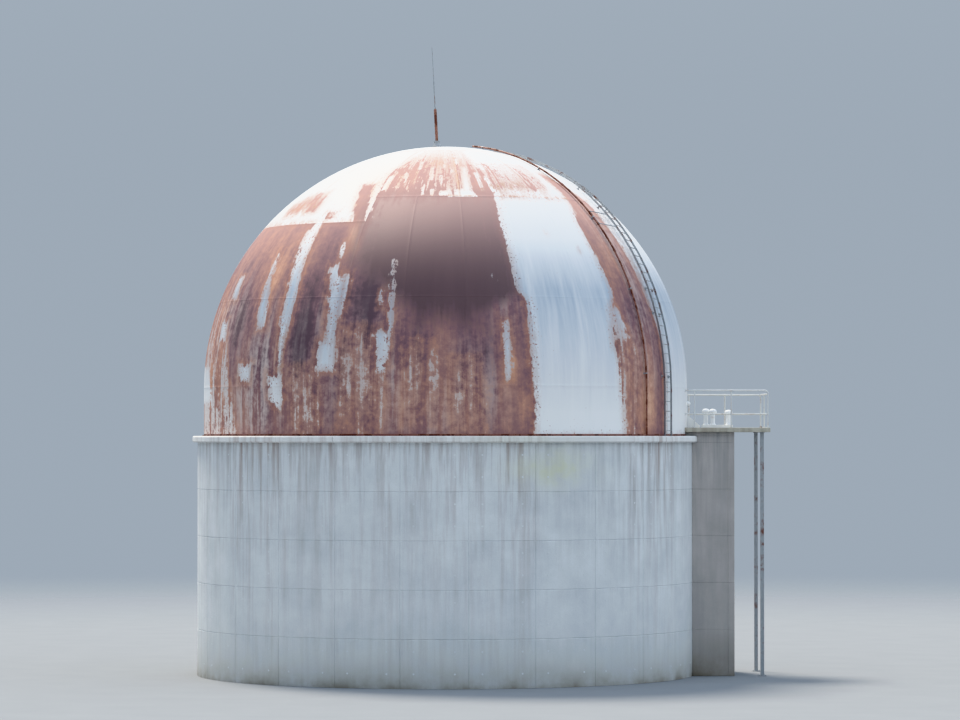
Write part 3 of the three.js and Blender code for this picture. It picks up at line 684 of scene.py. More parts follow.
def weathered_plate():
    """White alkyd, red oxide primer and rust scale, mixed by the paint map."""
    material, tree = new_material("weathered_alkyd_on_steel_plate")
    names = ("paint_depth", "primer_depth", "ragged", "warmth", "wash", "chalk", "weld_rust")
    field = {name: mesh_field(tree, name) for name in names}
    run = mesh_field(tree, "run", "Vector")
    climb = add_node(tree, "ShaderNodeSeparateXYZ", {0: run}).outputs["Z"]

    # Broad runs and thin ones are noise drawn out down the fall of water; flakes and specks are even noise
    fall, long_fall = (
        add_node(tree, "ShaderNodeMapping", {"Vector": run, "Scale": (1, 1, squeeze)}).outputs[0]
        for squeeze in (BROAD_SQUEEZE, THIN_SQUEEZE)
    )
    broad = noise(tree, fall, 3.0, 5.0, 0.62)
    thin = noise(tree, long_fall, 9.0, 4.0, 0.6)
    flake = noise(tree, run, 4.5, 7.0, 0.68)
    speck = noise(tree, run, 15.0, 4.0, 0.6)

    # The paint's edge, torn by all of them
    tear = maths(tree, "MULTIPLY_ADD", broad, 0.62, -0.31)
    tear = maths(tree, "MULTIPLY_ADD", flake, 0.5, tear)
    tear = maths(tree, "MULTIPLY_ADD", thin, 0.3, tear)
    tear = maths(tree, "SUBTRACT", tear, 0.4)
    torn = maths(tree, "MULTIPLY_ADD", tear, field["ragged"], field["paint_depth"])
    whole = span(tree, torn, -EDGE_SOFTNESS, EDGE_SOFTNESS)

    # Pinholes in the paint, thickest near its edge
    edge_in = span(tree, torn, 0, 0.5, 0.1, -0.06)
    pinhole = maths(tree, "ADD", speck, edge_in)
    painted = maths(tree, "MULTIPLY", whole, span(tree, pinhole, 0.66, 0.7, 1, 0))

    # Rust is mottled, flaky, streaked, and warmer in the blots
    mottle = noise(tree, fall, 1.4, 6.0, 0.6)
    tone = maths(tree, "MULTIPLY_ADD", mottle, 0.75, -0.32)
    for value, weight in ((flake, 0.6), (thin, 0.22), (field["warmth"], 0.4)):
        tone = maths(tree, "MULTIPLY_ADD", value, weight, tone)
    bare = rust_colour(tree, tone)

    # Chalk from the failing paint has run down over the rust in soft streaks
    chalk = maths(tree, "MULTIPLY_ADD", flake, 0.7, broad)
    chalk = maths(tree, "MULTIPLY_ADD", thin, 0.5, chalk)
    chalk = maths(tree, "MULTIPLY", span(tree, chalk, 1.02, 1.3), field["chalk"])
    bare = blend(tree, chalk, bare, 0xCDBDB8)

    # A warm rim of fresh rust lies just outside the paint's edge
    rim = maths(tree, "MULTIPLY", span(tree, torn, -0.22, 0, 0, 0.75), flake)
    bare = blend(tree, rim, bare, 0xC98F6C)

    # Smooth dark primer on the middle plate
    primer_edge = maths(tree, "MULTIPLY_ADD", tear, 2.2, field["primer_depth"])
    primed = span(tree, primer_edge, -0.55, 0.35)
    bare = blend(tree, primed, bare, blend(tree, mottle, 0x4B373D, 0x624A4D))

    # Dust lies thin on the steep plates and thicker where the plate lies flatter; this paling towards the
    # crown is also painted sheen, standing in for the glint of sky and sun on the upper plates
    flatness = span(tree, climb, 4.2, 8.6, kind="SMOOTHSTEP")
    dust_and_sheen = maths(tree, "MULTIPLY_ADD", flatness, 0.61, 0.075)
    bare = blend(tree, dust_and_sheen, bare, 0xCCA9A3)

    # White paint is washed clean over the shoulder and greys to blue in streaks below it, less so at the
    # foot; the streaks are dirt, and the blue grey over the lower plates is also painted shade
    streak = span(tree, broad, 0.3, 0.6, 0.5, 1)
    grime_and_shade = maths(tree, "MULTIPLY", span(tree, climb, 4.5, 6.3, 1, 0), span(tree, climb, 0.7, 4.1, 0.1, 1))
    white = blend(tree, maths(tree, "MULTIPLY", streak, grime_and_shade), 0xF3F3F2, 0xB2BFCC)

    # Rust stains it near its edge and where it has washed over
    stain = span(tree, torn, 0, 0.28, 0.7, 0)
    washed = maths(tree, "MULTIPLY", field["wash"], 1.5)
    washed = maths(tree, "MULTIPLY_ADD", field["weld_rust"], 0.55, washed)
    patchy = span(tree, maths(tree, "ADD", flake, broad), 0.86, 1.16)
    stain = maths(tree, "MULTIPLY", maths(tree, "ADD", stain, washed), patchy, use_clamp=True)
    skin = blend(tree, painted, bare, blend(tree, stain, white, 0xB78D78))

    # Paint is satin, primer smoother, rust rough; the paint film has a step and rust is pitted
    bare_rough = maths(tree, "MULTIPLY_ADD", flatness, 0.34, span(tree, primed, 0, 1, 0.82, 0.36))
    sockets = {0: painted, 2: bare_rough, 3: 0.48}
    rough = add_node(tree, "ShaderNodeMix", sockets, data_type="FLOAT").outputs[0]
    pitted = maths(tree, "MULTIPLY", speck, maths(tree, "SUBTRACT", 1.0, painted))
    film = maths(tree, "MULTIPLY_ADD", painted, 0.5, pitted)
    surface(tree, {"Base Color": skin, "Roughness": rough, "IOR": PAINT_IOR}, film, 0.5, PIT_DEPTH)
    return material


plate_finish = weathered_plate()

# %% [markdown]
# The CAD model has eight gores, four crown plates and a cap. Each gets a finer plate here that stands for
# it, on the same seams. One gore has the hatch opening, whose edges are lines of its grid.

# %% Build the dome's plates
CAP_SIDES = 144
hatch_low, hatch_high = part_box("skirt_hatch")
hatch_half = math.degrees(math.asin(hatch_high.y / DOME_RADIUS))
hatch_climbs = [(level - SPRING) / METRES_PER_DEGREE for level in (hatch_low.z, hatch_high.z)]
HATCH_OPENING = (90 - hatch_half, 90 + hatch_half, *hatch_climbs)
dome_pieces = []


def marks_between(start, stop, every):
    """The welds of one plate, its edges with them."""
    return [start + every * count for count in range(round((stop - start) / every) + 1)]


def add_plate(plate, node):
    """Gives a plate its finish and sets it in the place of its CAD node."""
    plate.data.materials.append(plate_finish)
    dome_pieces.append(link_piece(plate, [node]))


for kind, node, count, weld_every in (
    ("gore_plates", "gore", 8, GORE_WELD_EVERY), ("shoulder_plates", "crown_plate", 4, CROWN_WELD_EVERY)
):
    for index in range(count):
        start = FIRST_SEAM + index * 360 / count
        stop = start + 360 / count
        seam = float(top_seam((start + stop) / 2))
        low, high, girths = (FOOT_CLIMB, seam, [0, COURSE_WELD, seam])
        if node == "crown_plate":
            low, high, girths = (seam, CAP_SEAM, [seam, CAP_SEAM])
        azimuths = grid_lines(start, stop, marks_between(start, stop, weld_every), BEAD_HALF)
        climbs = grid_lines(low, high, girths, BEAD_HALF)
        opening = None
        if node == "gore" and start < 90 < stop:
            opening = HATCH_OPENING
            azimuths = np.array(sorted({*azimuths, *opening[:2]}))
            climbs = np.array(sorted({*climbs, *opening[2:]}))
        plate = dome_plate(f"{kind}_{index + 1}", azimuths, climbs, weld_every, girths, opening)
        add_plate(plate, f"{node}_{index + 1}")

cap_azimuths = np.linspace(FIRST_SEAM, FIRST_SEAM + 360, CAP_SIDES + 1)
cap_climbs = grid_lines(CAP_SEAM, 90.0, [CAP_SEAM], BEAD_HALF)
add_plate(dome_plate("cap_plate", cap_azimuths, cap_climbs, 360, [CAP_SEAM], wraps=True), "crown_cap")
print(f"{len(dome_pieces)} dome plates, {sum(len(p.data.polygons) for p in dome_pieces)} faces")

# %% [markdown]
# ## Parts made of bars, blocks and turned shapes
# Everything else is either cast in shutters or bought as bar, tube and plate. Those are a few simple
# solids, so each piece is gathered in one bmesh: every helper adds one closed solid to it. A narrow bevel
# on each edge comes last, because nothing cast, rolled or cut has a knife edge, and that thin bright line
# is how the eye reads it.

# %% Add simple solids to a mesh


def turns(count, first=0.0):
    """Angles that share a full turn out evenly."""
    return [first + 2 * math.pi * step / count for step in range(count)]


def rod(work, start, end, radius, end_radius=None, segments=16):
    """A round bar, or a cone where the end radius differs."""
    start, end = Vector(start), Vector(end)
    along = end - start
    place = Matrix.Translation((start + end) / 2) @ along.to_track_quat("Z", "Y").to_matrix().to_4x4()
    wide = radius if end_radius is None else end_radius
    bmesh.ops.create_cone(
        work, cap_ends=True, segments=segments, radius1=radius, radius2=wide, depth=along.length, matrix=place
    )


def block(work, low, high, turn=None):
    """A box between two corners, seen in the frame that turn gives."""
    low, high = Vector(low), Vector(high)
    place = Matrix.Translation((low + high) / 2) @ Matrix.Diagonal((*(high - low), 1))
    bmesh.ops.create_cube(work, size=1, matrix=turn @ place if turn else place)


def close_rings(work, rings):
    """One closed solid through a row of rings of points."""
    rings = [[work.verts.new(point) for point in ring] for ring in rings]
    for ring, following in zip(rings, rings[1:]):
        for step in range(len(ring)):
            beyond = (step + 1) % len(ring)
            work.faces.new([ring[step], ring[beyond], following[beyond], following[step]])
    work.faces.new(rings[0][::-1])
    work.faces.new(rings[-1])


def prism(work, outline, depth, turn):
    """A flat outline, pushed along Z by depth, in the frame that turn gives."""
    close_rings(work, [[turn @ Vector((x, y, z)) for x, y in outline] for z in (0, depth)])


def tube(work, path, radius, segments=16):
    """A round tube along a path of points, closed at both ends."""
    path = [Vector(point) for point in path]
    side = (path[1] - path[0]).orthogonal()
    rings = []
    for index, point in enumerate(path):
        along = (path[min(index + 1, len(path) - 1)] - path[max(index - 1, 0)]).normalized()
        side = (side - along * side.dot(along)).normalized()
        other = along.cross(side)
        rings.append([point + radius * (side * math.cos(t) + other * math.sin(t)) for t in turns(segments)])
    close_rings(work, rings)


def swept(work, profile, azimuths):
    """A closed profile of radii and heights, turned about the dome's axis through the azimuths."""
    axis = Vector((AXIS_X, 0, 0))
    close_rings(work, [[axis + outward(a) * r + UP * z for r, z in profile] for a in azimuths[::-1]])


def hex_bolt(work, seat, out, size):
    """A washer, a hexagon head and a stud end on a seat, for a bolt of this nominal size."""
    seat, out = Vector(seat), Vector(out).normalized()
    for height, radius, segments in ((0.18, 1.05, 14), (0.85, 0.9, 6), (1.15, 0.5, 8)):
        rod(work, seat, seat + out * size * height, size * radius, segments=segments)


def finish_piece(name, work, material, replaced=(), edge=None):
    """Makes a piece of the gathered solids, with a narrow bevel on its edges where edge gives a width."""
    bmesh.ops.recalc_face_normals(work, faces=work.faces)
    mesh = bpy.data.meshes.new(name)
    work.to_mesh(mesh)
    work.free()
    shade(mesh)
    mesh.materials.append(material)
    piece = bpy.data.objects.new(name, mesh)
    if edge:
        bevel = piece.modifiers.new("worn edges", "BEVEL")
        bevel.width = edge
        bevel.segments = 2
        bevel.limit_method = "ANGLE"
        bevel.angle_limit = math.radians(40)
        bevel.harden_normals = True
    return link_piece(piece, replaced)


# %% [markdown]
# ## Limewashed concrete
# The drum was cast in lifts about a metre and a half high, in curved steel shutters, and limewashed. Cast
# concrete is matt and mottled in patches a metre wide. Rain makes the rest: dark dirt runs from the ledge,
# brown runs under each rusting stretch of the dome, green algae where it stays wet, and splashed soil at
# the foot. The dirt's dark tint is also painted shade on the undersides of the ledge and the deck, and at
# the top of the annex walls under the deck. The same cement makes the ledge, trowelled, the deck, swept
# with a broom, and the annex, whose wash has worn so thin that the grey of the mix shows, and whose darker
# grey is also painted shade. One function makes all four from their tints.

# %% Make the concretes
STREAK_SQUEEZE = 0.06


def cast_concrete(name, light, dark, grime_and_shade, growth, bump):
    """Cast concrete; seep, growth and soil are fields in its mesh, and each may be left out there."""
    material, tree = new_material(name)
    place = object_place(tree)
    fall = add_node(tree, "ShaderNodeMapping", {"Vector": place, "Scale": (1, 1, STREAK_SQUEEZE)}).outputs[0]
    cloud = noise(tree, place, 0.8, 7.0, 0.62)
    run = noise(tree, fall, 4.5, 5.0, 0.65)
    sand = noise(tree, place, 26.0, 5.0, 0.7)

    # The bare tone clouds over, with the sand of the mix in it
    tone = span(tree, maths(tree, "MULTIPLY_ADD", sand, 0.35, cloud), 0.46, 0.9)
    skin = blend(tree, tone, dark, light)

    # Each stain lies where its field is strong, broken up by the runs or the clouds
    stains = [
        # The first stain is dirt runs on the walls, and painted shade on the ledge's and deck's undersides
        # and at the annex's top
        ("seep", run, 0.42, 0.62, 0.6, grime_and_shade),
        ("rust_seep", run, 0.44, 0.66, 0.7, 0x8D6A57),
        ("growth", cloud, 0.32, 0.56, 0.75, growth),
        ("soil", cloud, 0.2, 0.62, 0.85, 0x7B7264),
    ]
    for field, pattern, start, full, most, tint in stains:
        broken = span(tree, pattern, start, full, 0, most)
        skin = blend(tree, maths(tree, "MULTIPLY", broken, mesh_field(tree, field)), skin, tint)

    grain = maths(tree, "MULTIPLY_ADD", cloud, 0.6, sand)
    surface(tree, {"Base Color": skin, "Roughness": span(tree, tone, 0, 1, 0.94, 0.84)}, grain, 0.6, bump)
    return material


limewashed = cast_concrete("limewashed_shuttered_concrete", 0xE2E6E8, 0xCBD1D4, 0xA0A5A8, 0xCED2B2, 0.006)
trowelled = cast_concrete("trowelled_concrete", 0xECEDEC, 0xDADCDB, 0xA9AAAA, 0xC6CAB0, 0.004)
broomed = cast_concrete("broomed_deck_concrete", 0xD6D2C5, 0xB3AFA2, 0x86837A, 0xA3A388, 0.006)
# The annex's darker, warmer grey is worn wash and also painted shade for its place under the deck
thin_wash_and_shade = cast_concrete("worn_limewash_and_painted_shade", 0xC3BEBA, 0xAEAAA7, 0x87898B, 0x9A9C86, 0.006)

# %% [markdown]
# ## Drum wall
# Each of the eight CAD sectors becomes a slab with more lines, which carry a shallow groove at every lift
# joint and at the sector's own joint, where two shutters met. The shutters were held by through ties, whose
# holes were plugged with mortar: they are added as low discs, four to a panel. The stain fields are worked
# out for each point, so the brown runs start under the real rust above them.

# %% Build the drum wall
LIFT_COUNT = 5
LIFT_HEIGHT = WALL_TOP / LIFT_COUNT
SECTOR_SPAN = 45
SHUTTER_SPAN = 15
GROOVE_DEPTH = 0.014
GROOVE_HALF = 0.016
PLUG_RADIUS = 0.035
PLUG_PROUD = 0.004
PLUG_SPOTS = [(panel + across, lift + up) for panel in range(3) for lift in range(LIFT_COUNT)
              for across, up in ((0.2, 0.3), (0.8, 0.3), (0.2, 0.75), (0.8, 0.75))]


def groove(gap):
    """How deep the V of a joint is at a distance from its middle."""
    return GROOVE_DEPTH * np.clip(1 - np.abs(gap) / GROOVE_HALF, 0, 1)


def rust_above(azimuth):
    """How bare the dome's foot is over an azimuth, from 0 to 1."""
    return np.clip(0.5 - paint_depth(azimuth, np.full_like(azimuth, FOOT_CLIMB + 2)) / 0.8, 0, 1)


def wall_fields(azimuth, height):
    """The stains of the wall: runs from the ledge and from rust, growth near the top, soil at the foot."""
    under_ledge = np.exp(-(WALL_TOP - height) / 1.6)
    under_joint = np.exp(-(np.ceil(height / LIFT_HEIGHT) * LIFT_HEIGHT - height) / 0.5)
    patch = np.exp(-(((azimuth - 25) / 9) ** 2) - ((height - 6.55) / 0.55) ** 2)
    damp = np.exp(-(((azimuth - 50) / 14) ** 2) - ((height - 5.6) / 1.8) ** 2)
    return {
        "seep": 0.5 * under_ledge + 0.25 * under_joint + 0.4 * damp,
        "rust_seep": rust_above(azimuth) * (0.15 + 0.85 * np.exp(-(WALL_TOP - height) / 2.2)) * 0.8,
        "growth": patch + 0.3 * np.exp(-height / 1.0),
        "soil": np.exp(-height / 0.5),
    }


groove_turn = math.degrees(GROOVE_HALF / WALL_RADIUS)
joints = [lift * LIFT_HEIGHT for lift in range(1, LIFT_COUNT)]
height_lines = grid_lines(0.0, WALL_TOP, joints, GROOVE_HALF, 0.15)
for index in range(8):
    start = FIRST_SEAM + index * SECTOR_SPAN
    stop = start + SECTOR_SPAN
    azimuth_lines = grid_lines(start, stop, marks_between(start, stop, SHUTTER_SPAN), groove_turn, 1.0)
    height, azimuth = np.meshgrid(height_lines, azimuth_lines, indexing="ij")
    to_shutter = (azimuth - FIRST_SEAM + SHUTTER_SPAN / 2) % SHUTTER_SPAN - SHUTTER_SPAN / 2
    upright = groove(np.radians(to_shutter) * WALL_RADIUS)
    level = groove((height + LIFT_HEIGHT / 2) % LIFT_HEIGHT - LIFT_HEIGHT / 2)
    level[0] = level[-1] = 0
    around = np.radians(azimuth)
    faces = [
        np.stack([AXIS_X + radius * np.sin(around), -radius * np.cos(around), height], axis=-1)
        for radius in (WALL_RADIUS - np.maximum(upright, level), WALL_RADIUS - WALL_THICKNESS)
    ]
    cells = np.ones((len(height_lines) - 1, len(azimuth_lines) - 1), bool)
    mesh = slab(f"wall_sector_{index + 1}", *faces, cells)
    for field, values in wall_fields((azimuth + 180) % 360 - 180, height).items():
        write_field(mesh, field, np.tile(values.ravel(), 2))
    work = bmesh.new()
    work.from_mesh(mesh)
    for across, up in PLUG_SPOTS:
        out = outward(start + across * SHUTTER_SPAN)
        centre = Vector((AXIS_X, 0, up * LIFT_HEIGHT)) + out * WALL_RADIUS
        rod(work, centre - out * 0.01, centre + out * PLUG_PROUD, PLUG_RADIUS, PLUG_RADIUS * 0.8, 10)
    finish_piece(mesh.name, work, limewashed, [f"drum_wall_{index + 1}"])
print(f"8 wall sectors, joints every {LIFT_HEIGHT:.2f} m, {len(PLUG_SPOTS)} plugs each")

# %% [markdown]
# ## Ledge and the dome's foot
# The ledge is a ring beam that oversails the wall. Its profile is turned about the dome's axis in four
# casts, with chamfered arrises, a drip groove underneath that throws rain off, and a slight fall to its
# top. The dome stands on it on a rolled steel angle with an anchor bolt every five degrees. The angle stops
# either side of the conduit.

# %% Build the ledge
LEDGE_CHAMFER = 0.035
LEDGE_SPAN = 90
LEDGE_JOINT = 0.06
LEDGE_FALL = 0.002
DRIP_WIDTH = 0.02
TOP_FLAT = 0.08
brow = LEDGE_RADIUS - LEDGE_CHAMFER
drip = LEDGE_RADIUS - 0.06
ledge_inner = WALL_RADIUS - WALL_THICKNESS
LEDGE_PROFILE = [
    (ledge_inner, WALL_TOP), (drip - DRIP_WIDTH, WALL_TOP),
    (drip - DRIP_WIDTH / 2, WALL_TOP + DRIP_WIDTH / 2), (drip, WALL_TOP),
    (brow, WALL_TOP), (LEDGE_RADIUS, WALL_TOP + LEDGE_CHAMFER),
    (LEDGE_RADIUS, LEDGE_TOP - LEDGE_CHAMFER), (brow, LEDGE_TOP - LEDGE_FALL),
    (DOME_RADIUS + TOP_FLAT, LEDGE_TOP), (ledge_inner, LEDGE_TOP),
]


def add_stain_fields(piece, fields):
    """Writes stain fields, worked out from each point's place, into a finished piece."""
    mesh = piece.data
    places = np.zeros(len(mesh.vertices) * 3)
    mesh.vertices.foreach_get("co", places)
    x, y, z = places.reshape(-1, 3).T
    for name, rule in fields.items():
        write_field(mesh, name, np.broadcast_to(rule(x, y, z), x.shape))


def azimuth_at(x, y):
    """The azimuth of a place, in degrees either side of the front."""
    return np.degrees(np.arctan2(x - AXIS_X, -y))


for index in range(4):
    start = FIRST_SEAM + index * LEDGE_SPAN
    work = bmesh.new()
    swept(work, LEDGE_PROFILE, np.linspace(start + LEDGE_JOINT / 2, start + LEDGE_SPAN - LEDGE_JOINT / 2, 91))
    node = f"ledge_{index + 1}"
    ring = finish_piece(f"ledge_cast_{index + 1}", work, trowelled, [node], edge=0.004)
    add_stain_fields(ring, {
        # The underside is darkened more, as painted shade; a little grime lies everywhere
        "seep": lambda x, y, z: 0.12 + 0.5 * (z < WALL_TOP + 0.03),
        "rust_seep": lambda x, y, z: rust_above(azimuth_at(x, y)) * 0.55,
        "growth": lambda x, y, z: 0.35 * np.exp(-(((azimuth_at(x, y) - 20) / 16) ** 2)),
    })

# %% [markdown]
# ## Steel that has been left outside
# Hot-dip galvanised steel starts as a bright metal with a spangle of zinc crystals and goes matt and pale
# grey in a few years, with brown rust where the zinc has worn away. Painted bar and tube is white where the
# alkyd holds and brown where it has chipped, mostly on edges and at welds. A pipe that was only primed is
# brown all over. The three are one metal with three coats, so each gets its own material.

# %% Make the steels
SPANGLE_SCALE = 42
CHIP_EDGE = 0.02


def galvanised_steel():
    """Hot-dip galvanised steel: dull zinc, a faint spangle, and rust in patches."""
    material, tree = new_material("hot_dip_galvanised_steel")
    place = object_place(tree)
    # A real spangle is about 10 mm across; it is drawn at 24 mm so that it shows at all
    sockets = {"Vector": place, "Scale": SPANGLE_SCALE}
    spangle = add_node(tree, "ShaderNodeTexVoronoi", sockets).outputs["Color"]
    crystal = add_node(tree, "ShaderNodeSeparateXYZ", {0: spangle}).outputs["X"]
    cloud = noise(tree, place, 2.6, 7.0, 0.7)
    tone = maths(tree, "MULTIPLY_ADD", crystal, 0.3, cloud)
    rusty = span(tree, cloud, 0.52, 0.66)
    skin = blend(tree, rusty, blend(tree, tone, 0x8E9397, 0xB9BEC1), 0x7C5446)
    metal = span(tree, rusty, 0, 1, 0.55, 0.0)
    rough = span(tree, rusty, 0, 1, 0.5, 0.85)
    surface(tree, {"Base Color": skin, "Metallic": metal, "Roughness": rough}, tone, 0.3, 0.001)
    return material


def painted_steel(name, paint, shade_tone, chip_start):
    """Brushed alkyd on steel, chipped to brown rust where its noise passes chip_start."""
    material, tree = new_material(name)
    place = object_place(tree)
    cloud = noise(tree, place, 3.2, 8.0, 0.72)
    brush = noise(tree, place, 55.0, 3.0, 0.6)
    worn = maths(tree, "MULTIPLY_ADD", brush, 0.18, cloud)
    stain = span(tree, worn, chip_start - 0.08, chip_start + CHIP_EDGE, 0, 0.5)
    stained = blend(tree, stain, blend(tree, cloud, paint, shade_tone), 0xB08668)
    chip = span(tree, worn, chip_start, chip_start + CHIP_EDGE)
    skin = blend(tree, chip, stained, 0x6A4439)
    rough = span(tree, chip, 0, 1, 0.42, 0.85)
    film = maths(tree, "MULTIPLY_ADD", brush, 0.3, chip)
    surface(tree, {"Base Color": skin, "Roughness": rough, "IOR": PAINT_IOR}, film, 0.4, 0.0015, invert=True)
    return material


galvanised = galvanised_steel()
rail_paint = painted_steel("white_alkyd_on_steel_tube", 0xE4E6E5, 0xC9CCCB, 0.71)
vent_paint = painted_steel("white_enamel_on_sheet_metal", 0xF4F5F5, 0xE4E7E8, 0.78)
door_paint = painted_steel("grey_enamel_on_steel_door", 0x8F969B, 0x7C8388, 0.68)
rusted_pipe = painted_steel("rusted_primed_pipe", 0x80544D, 0x9C7065, 0.6)

# %% Stand the dome on its base angle
ANGLE_LEG = 0.06
ANGLE_THICKNESS = 0.006
BOLT_EVERY = 5
BOLT_SIZE = 0.02
CONDUIT_AZIMUTH = 52.8
CONDUIT_CLEAR = 0.7
ANGLE_ARCS = 8
ARC_GAP = 0.05

leg, thick = ANGLE_LEG, ANGLE_THICKNESS
corners = [(0, 0), (leg, 0), (leg, thick), (thick, thick), (thick, leg), (0, leg)]
angle_profile = [(DOME_RADIUS + out, LEDGE_TOP + up) for out, up in corners]
arc_span = (360 - 2 * CONDUIT_CLEAR) / ANGLE_ARCS
arc_bolts = round(arc_span / BOLT_EVERY)
work = bmesh.new()
for arc in range(ANGLE_ARCS):
    start = CONDUIT_AZIMUTH + CONDUIT_CLEAR + arc * arc_span
    swept(work, angle_profile, np.linspace(start, start + arc_span - ARC_GAP, 46))
    for bolt in range(arc_bolts):
        out = outward(start + (bolt + 0.5) * arc_span / arc_bolts) * (DOME_RADIUS + leg * 0.58)
        hex_bolt(work, Vector((AXIS_X, 0, LEDGE_TOP + thick)) + out, UP, BOLT_SIZE)
finish_piece("dome_base_angle", work, rusted_pipe)
print(f"{ANGLE_ARCS} angles with {arc_bolts} anchor bolts each")

# %% [markdown]
# ## Hatch in the skirt
# At the side, level with the deck steps, a small door opens through the skirt. It is a piece of the same
# curved plate, so it is turned about the same axis. A flat bar frame is welded round the opening, three
# hinges carry the leaf on one side, and a lever closes it on the other. A bent strip over the top keeps the
# rain out.

# %% Hang the hatch
FRAME_BAR = 0.035
FRAME_PROUD = 0.012
FRAME_LAP = 0.002
HINGE_INSET = 0.13
PRESSED_INSET = 0.09
PRESSED_SPLIT = (0.36, 0.42)
PRESSED_PROUD = 0.006
RAIN_STRIP = 0.05
RAIN_STRIP_RISE = (0.045, 0.052)
LEAF_GAP = 0.01
SIDE_GAP = 0.015
KNUCKLE = 0.02
PIN_HALF, PIN_RADIUS = 0.045, 0.011
hatch_bottom, hatch_top = hatch_low.z, hatch_high.z
hatch_middle = (hatch_bottom + hatch_top) / 2
skirt_face = AXIS_X + DOME_RADIUS
bar_turn = math.degrees(FRAME_BAR / DOME_RADIUS)
left, right = HATCH_OPENING[:2]


def arc_blocks(work, inner, outer, rows):
    """Blocks that are curved about the dome's axis; each row is two azimuths and two heights."""
    for start, stop, low, high in rows:
        swept(work, [(inner, low), (outer, low), (outer, high), (inner, high)], np.linspace(start, stop, 9))


work = bmesh.new()
leaf = (left + LEAF_GAP, right - LEAF_GAP, hatch_bottom, hatch_top)
arc_blocks(work, DOME_RADIUS - PLATE, DOME_RADIUS, [leaf])
pressed = (left + 2 * bar_turn, right - 2 * bar_turn)
split_low, split_high = (hatch_bottom + rise for rise in PRESSED_SPLIT)
panels = [(hatch_bottom + PRESSED_INSET, split_low), (split_high, hatch_top - PRESSED_INSET)]
rows = [(*pressed, *heights) for heights in panels]
arc_blocks(work, DOME_RADIUS - 0.004, DOME_RADIUS + PRESSED_PROUD, rows)
finish_piece("hatch_leaf", work, rail_paint, ["skirt_hatch"], edge=0.003)

work = bmesh.new()
low, high = hatch_bottom - FRAME_LAP, hatch_top + FRAME_LAP
frame_left, frame_right = left - bar_turn, right + bar_turn
arc_blocks(work, DOME_RADIUS - FRAME_LAP, DOME_RADIUS + FRAME_PROUD, [
    (frame_left, frame_right, hatch_bottom - FRAME_BAR, low),
    (frame_left, frame_right, high, hatch_top + FRAME_BAR),
    (frame_left, left - SIDE_GAP, low, high),
    (right + SIDE_GAP, frame_right, low, high),
])
strip_ends = (left - 1.3 * bar_turn, right + 1.3 * bar_turn)
strip = (*strip_ends, *(hatch_top + rise for rise in RAIN_STRIP_RISE))
arc_blocks(work, DOME_RADIUS - FRAME_LAP, DOME_RADIUS + RAIN_STRIP, [strip])
finish_piece("hatch_frame", work, rail_paint, edge=0.002)

work = bmesh.new()
for height in (hatch_bottom + HINGE_INSET, hatch_middle, hatch_top - HINGE_INSET):
    pin = Vector((skirt_face + 0.012, hatch_high.y + 0.004, height))
    rod(work, pin - UP * PIN_HALF, pin + UP * PIN_HALF, PIN_RADIUS)
    strap = (skirt_face - 0.012, hatch_high.y - 0.075, height - KNUCKLE)
    block(work, strap, (skirt_face + 0.006, pin.y, height + KNUCKLE))
grip = Vector((skirt_face + 0.004, hatch_low.y + 0.07, hatch_middle))
rod(work, grip - Vector((0.02, 0, 0)), grip + Vector((0.05, 0, 0)), 0.014)
lever = [(0.045, 0, 0.02), (0.05, 0, -0.03), (0.055, 0.01, -0.15)]
tube(work, [grip + Vector(step) for step in lever], 0.009)
finish_piece("hatch_hinges_and_lever", work, galvanised)

# %% [markdown]
# A small white fitting stands out from the skirt beside the hatch. It is too small in the photograph to say
# what it is. A bulkhead lamp is the usual thing there: a cast back, an opal bowl, and a guard of bent rod
# over it.

# %% Fit the lamp
LAMP_RADIUS = 0.06
LAMP_SIDES = 28
LAMP_BACK = 0.03
LAMP_ASIDE = 0.17
LAMP_UP = 0.34
GUARD_REACH = 0.078
GUARD_ROD = 0.004
# Each row is where a band of the bowl starts, and the shares of the lamp's radius at its two ends
BOWL_BANDS = [(0.03, 1.0, 0.97), (0.05, 0.97, 0.84), (0.07, 0.84, 0.58), (0.086, 0.58, 0.2)]
lamp_turn = math.asin((hatch_low.y - LAMP_ASIDE) / DOME_RADIUS)
lamp_out = outward(90 + math.degrees(lamp_turn))
lamp_seat = Vector((AXIS_X, 0, hatch_bottom + LAMP_UP)) + lamp_out * DOME_RADIUS
work = bmesh.new()
back = lamp_seat + lamp_out * LAMP_BACK
rod(work, lamp_seat - lamp_out * 0.004, back, LAMP_RADIUS * 1.15, segments=LAMP_SIDES)
for reach, wide, narrow in BOWL_BANDS:
    start, end = (lamp_seat + lamp_out * along for along in (reach, reach + 0.02 * wide))
    rod(work, start, end, LAMP_RADIUS * wide, LAMP_RADIUS * narrow, LAMP_SIDES)
for across in (UP.cross(lamp_out), UP):
    arch = [
        back + lamp_out * GUARD_REACH * math.sin(t) + across * LAMP_RADIUS * 1.1 * math.cos(t)
        for t in np.linspace(0, math.pi, 15)
    ]
    tube(work, arch, GUARD_ROD, 8)
finish_piece("hatch_lamp", work, vent_paint)

# %% [markdown]
# ## Mast
# A mast with a thin whip leans a few degrees to the left on the crown. A round steel pedestal meets the
# plate in a bolted flange, a collar with set screws grips the pipe, and the whip is screwed into the pipe's
# top: a stout lower rod, then a thin one that tapers to a ball. All of it is turned about one leaning line.

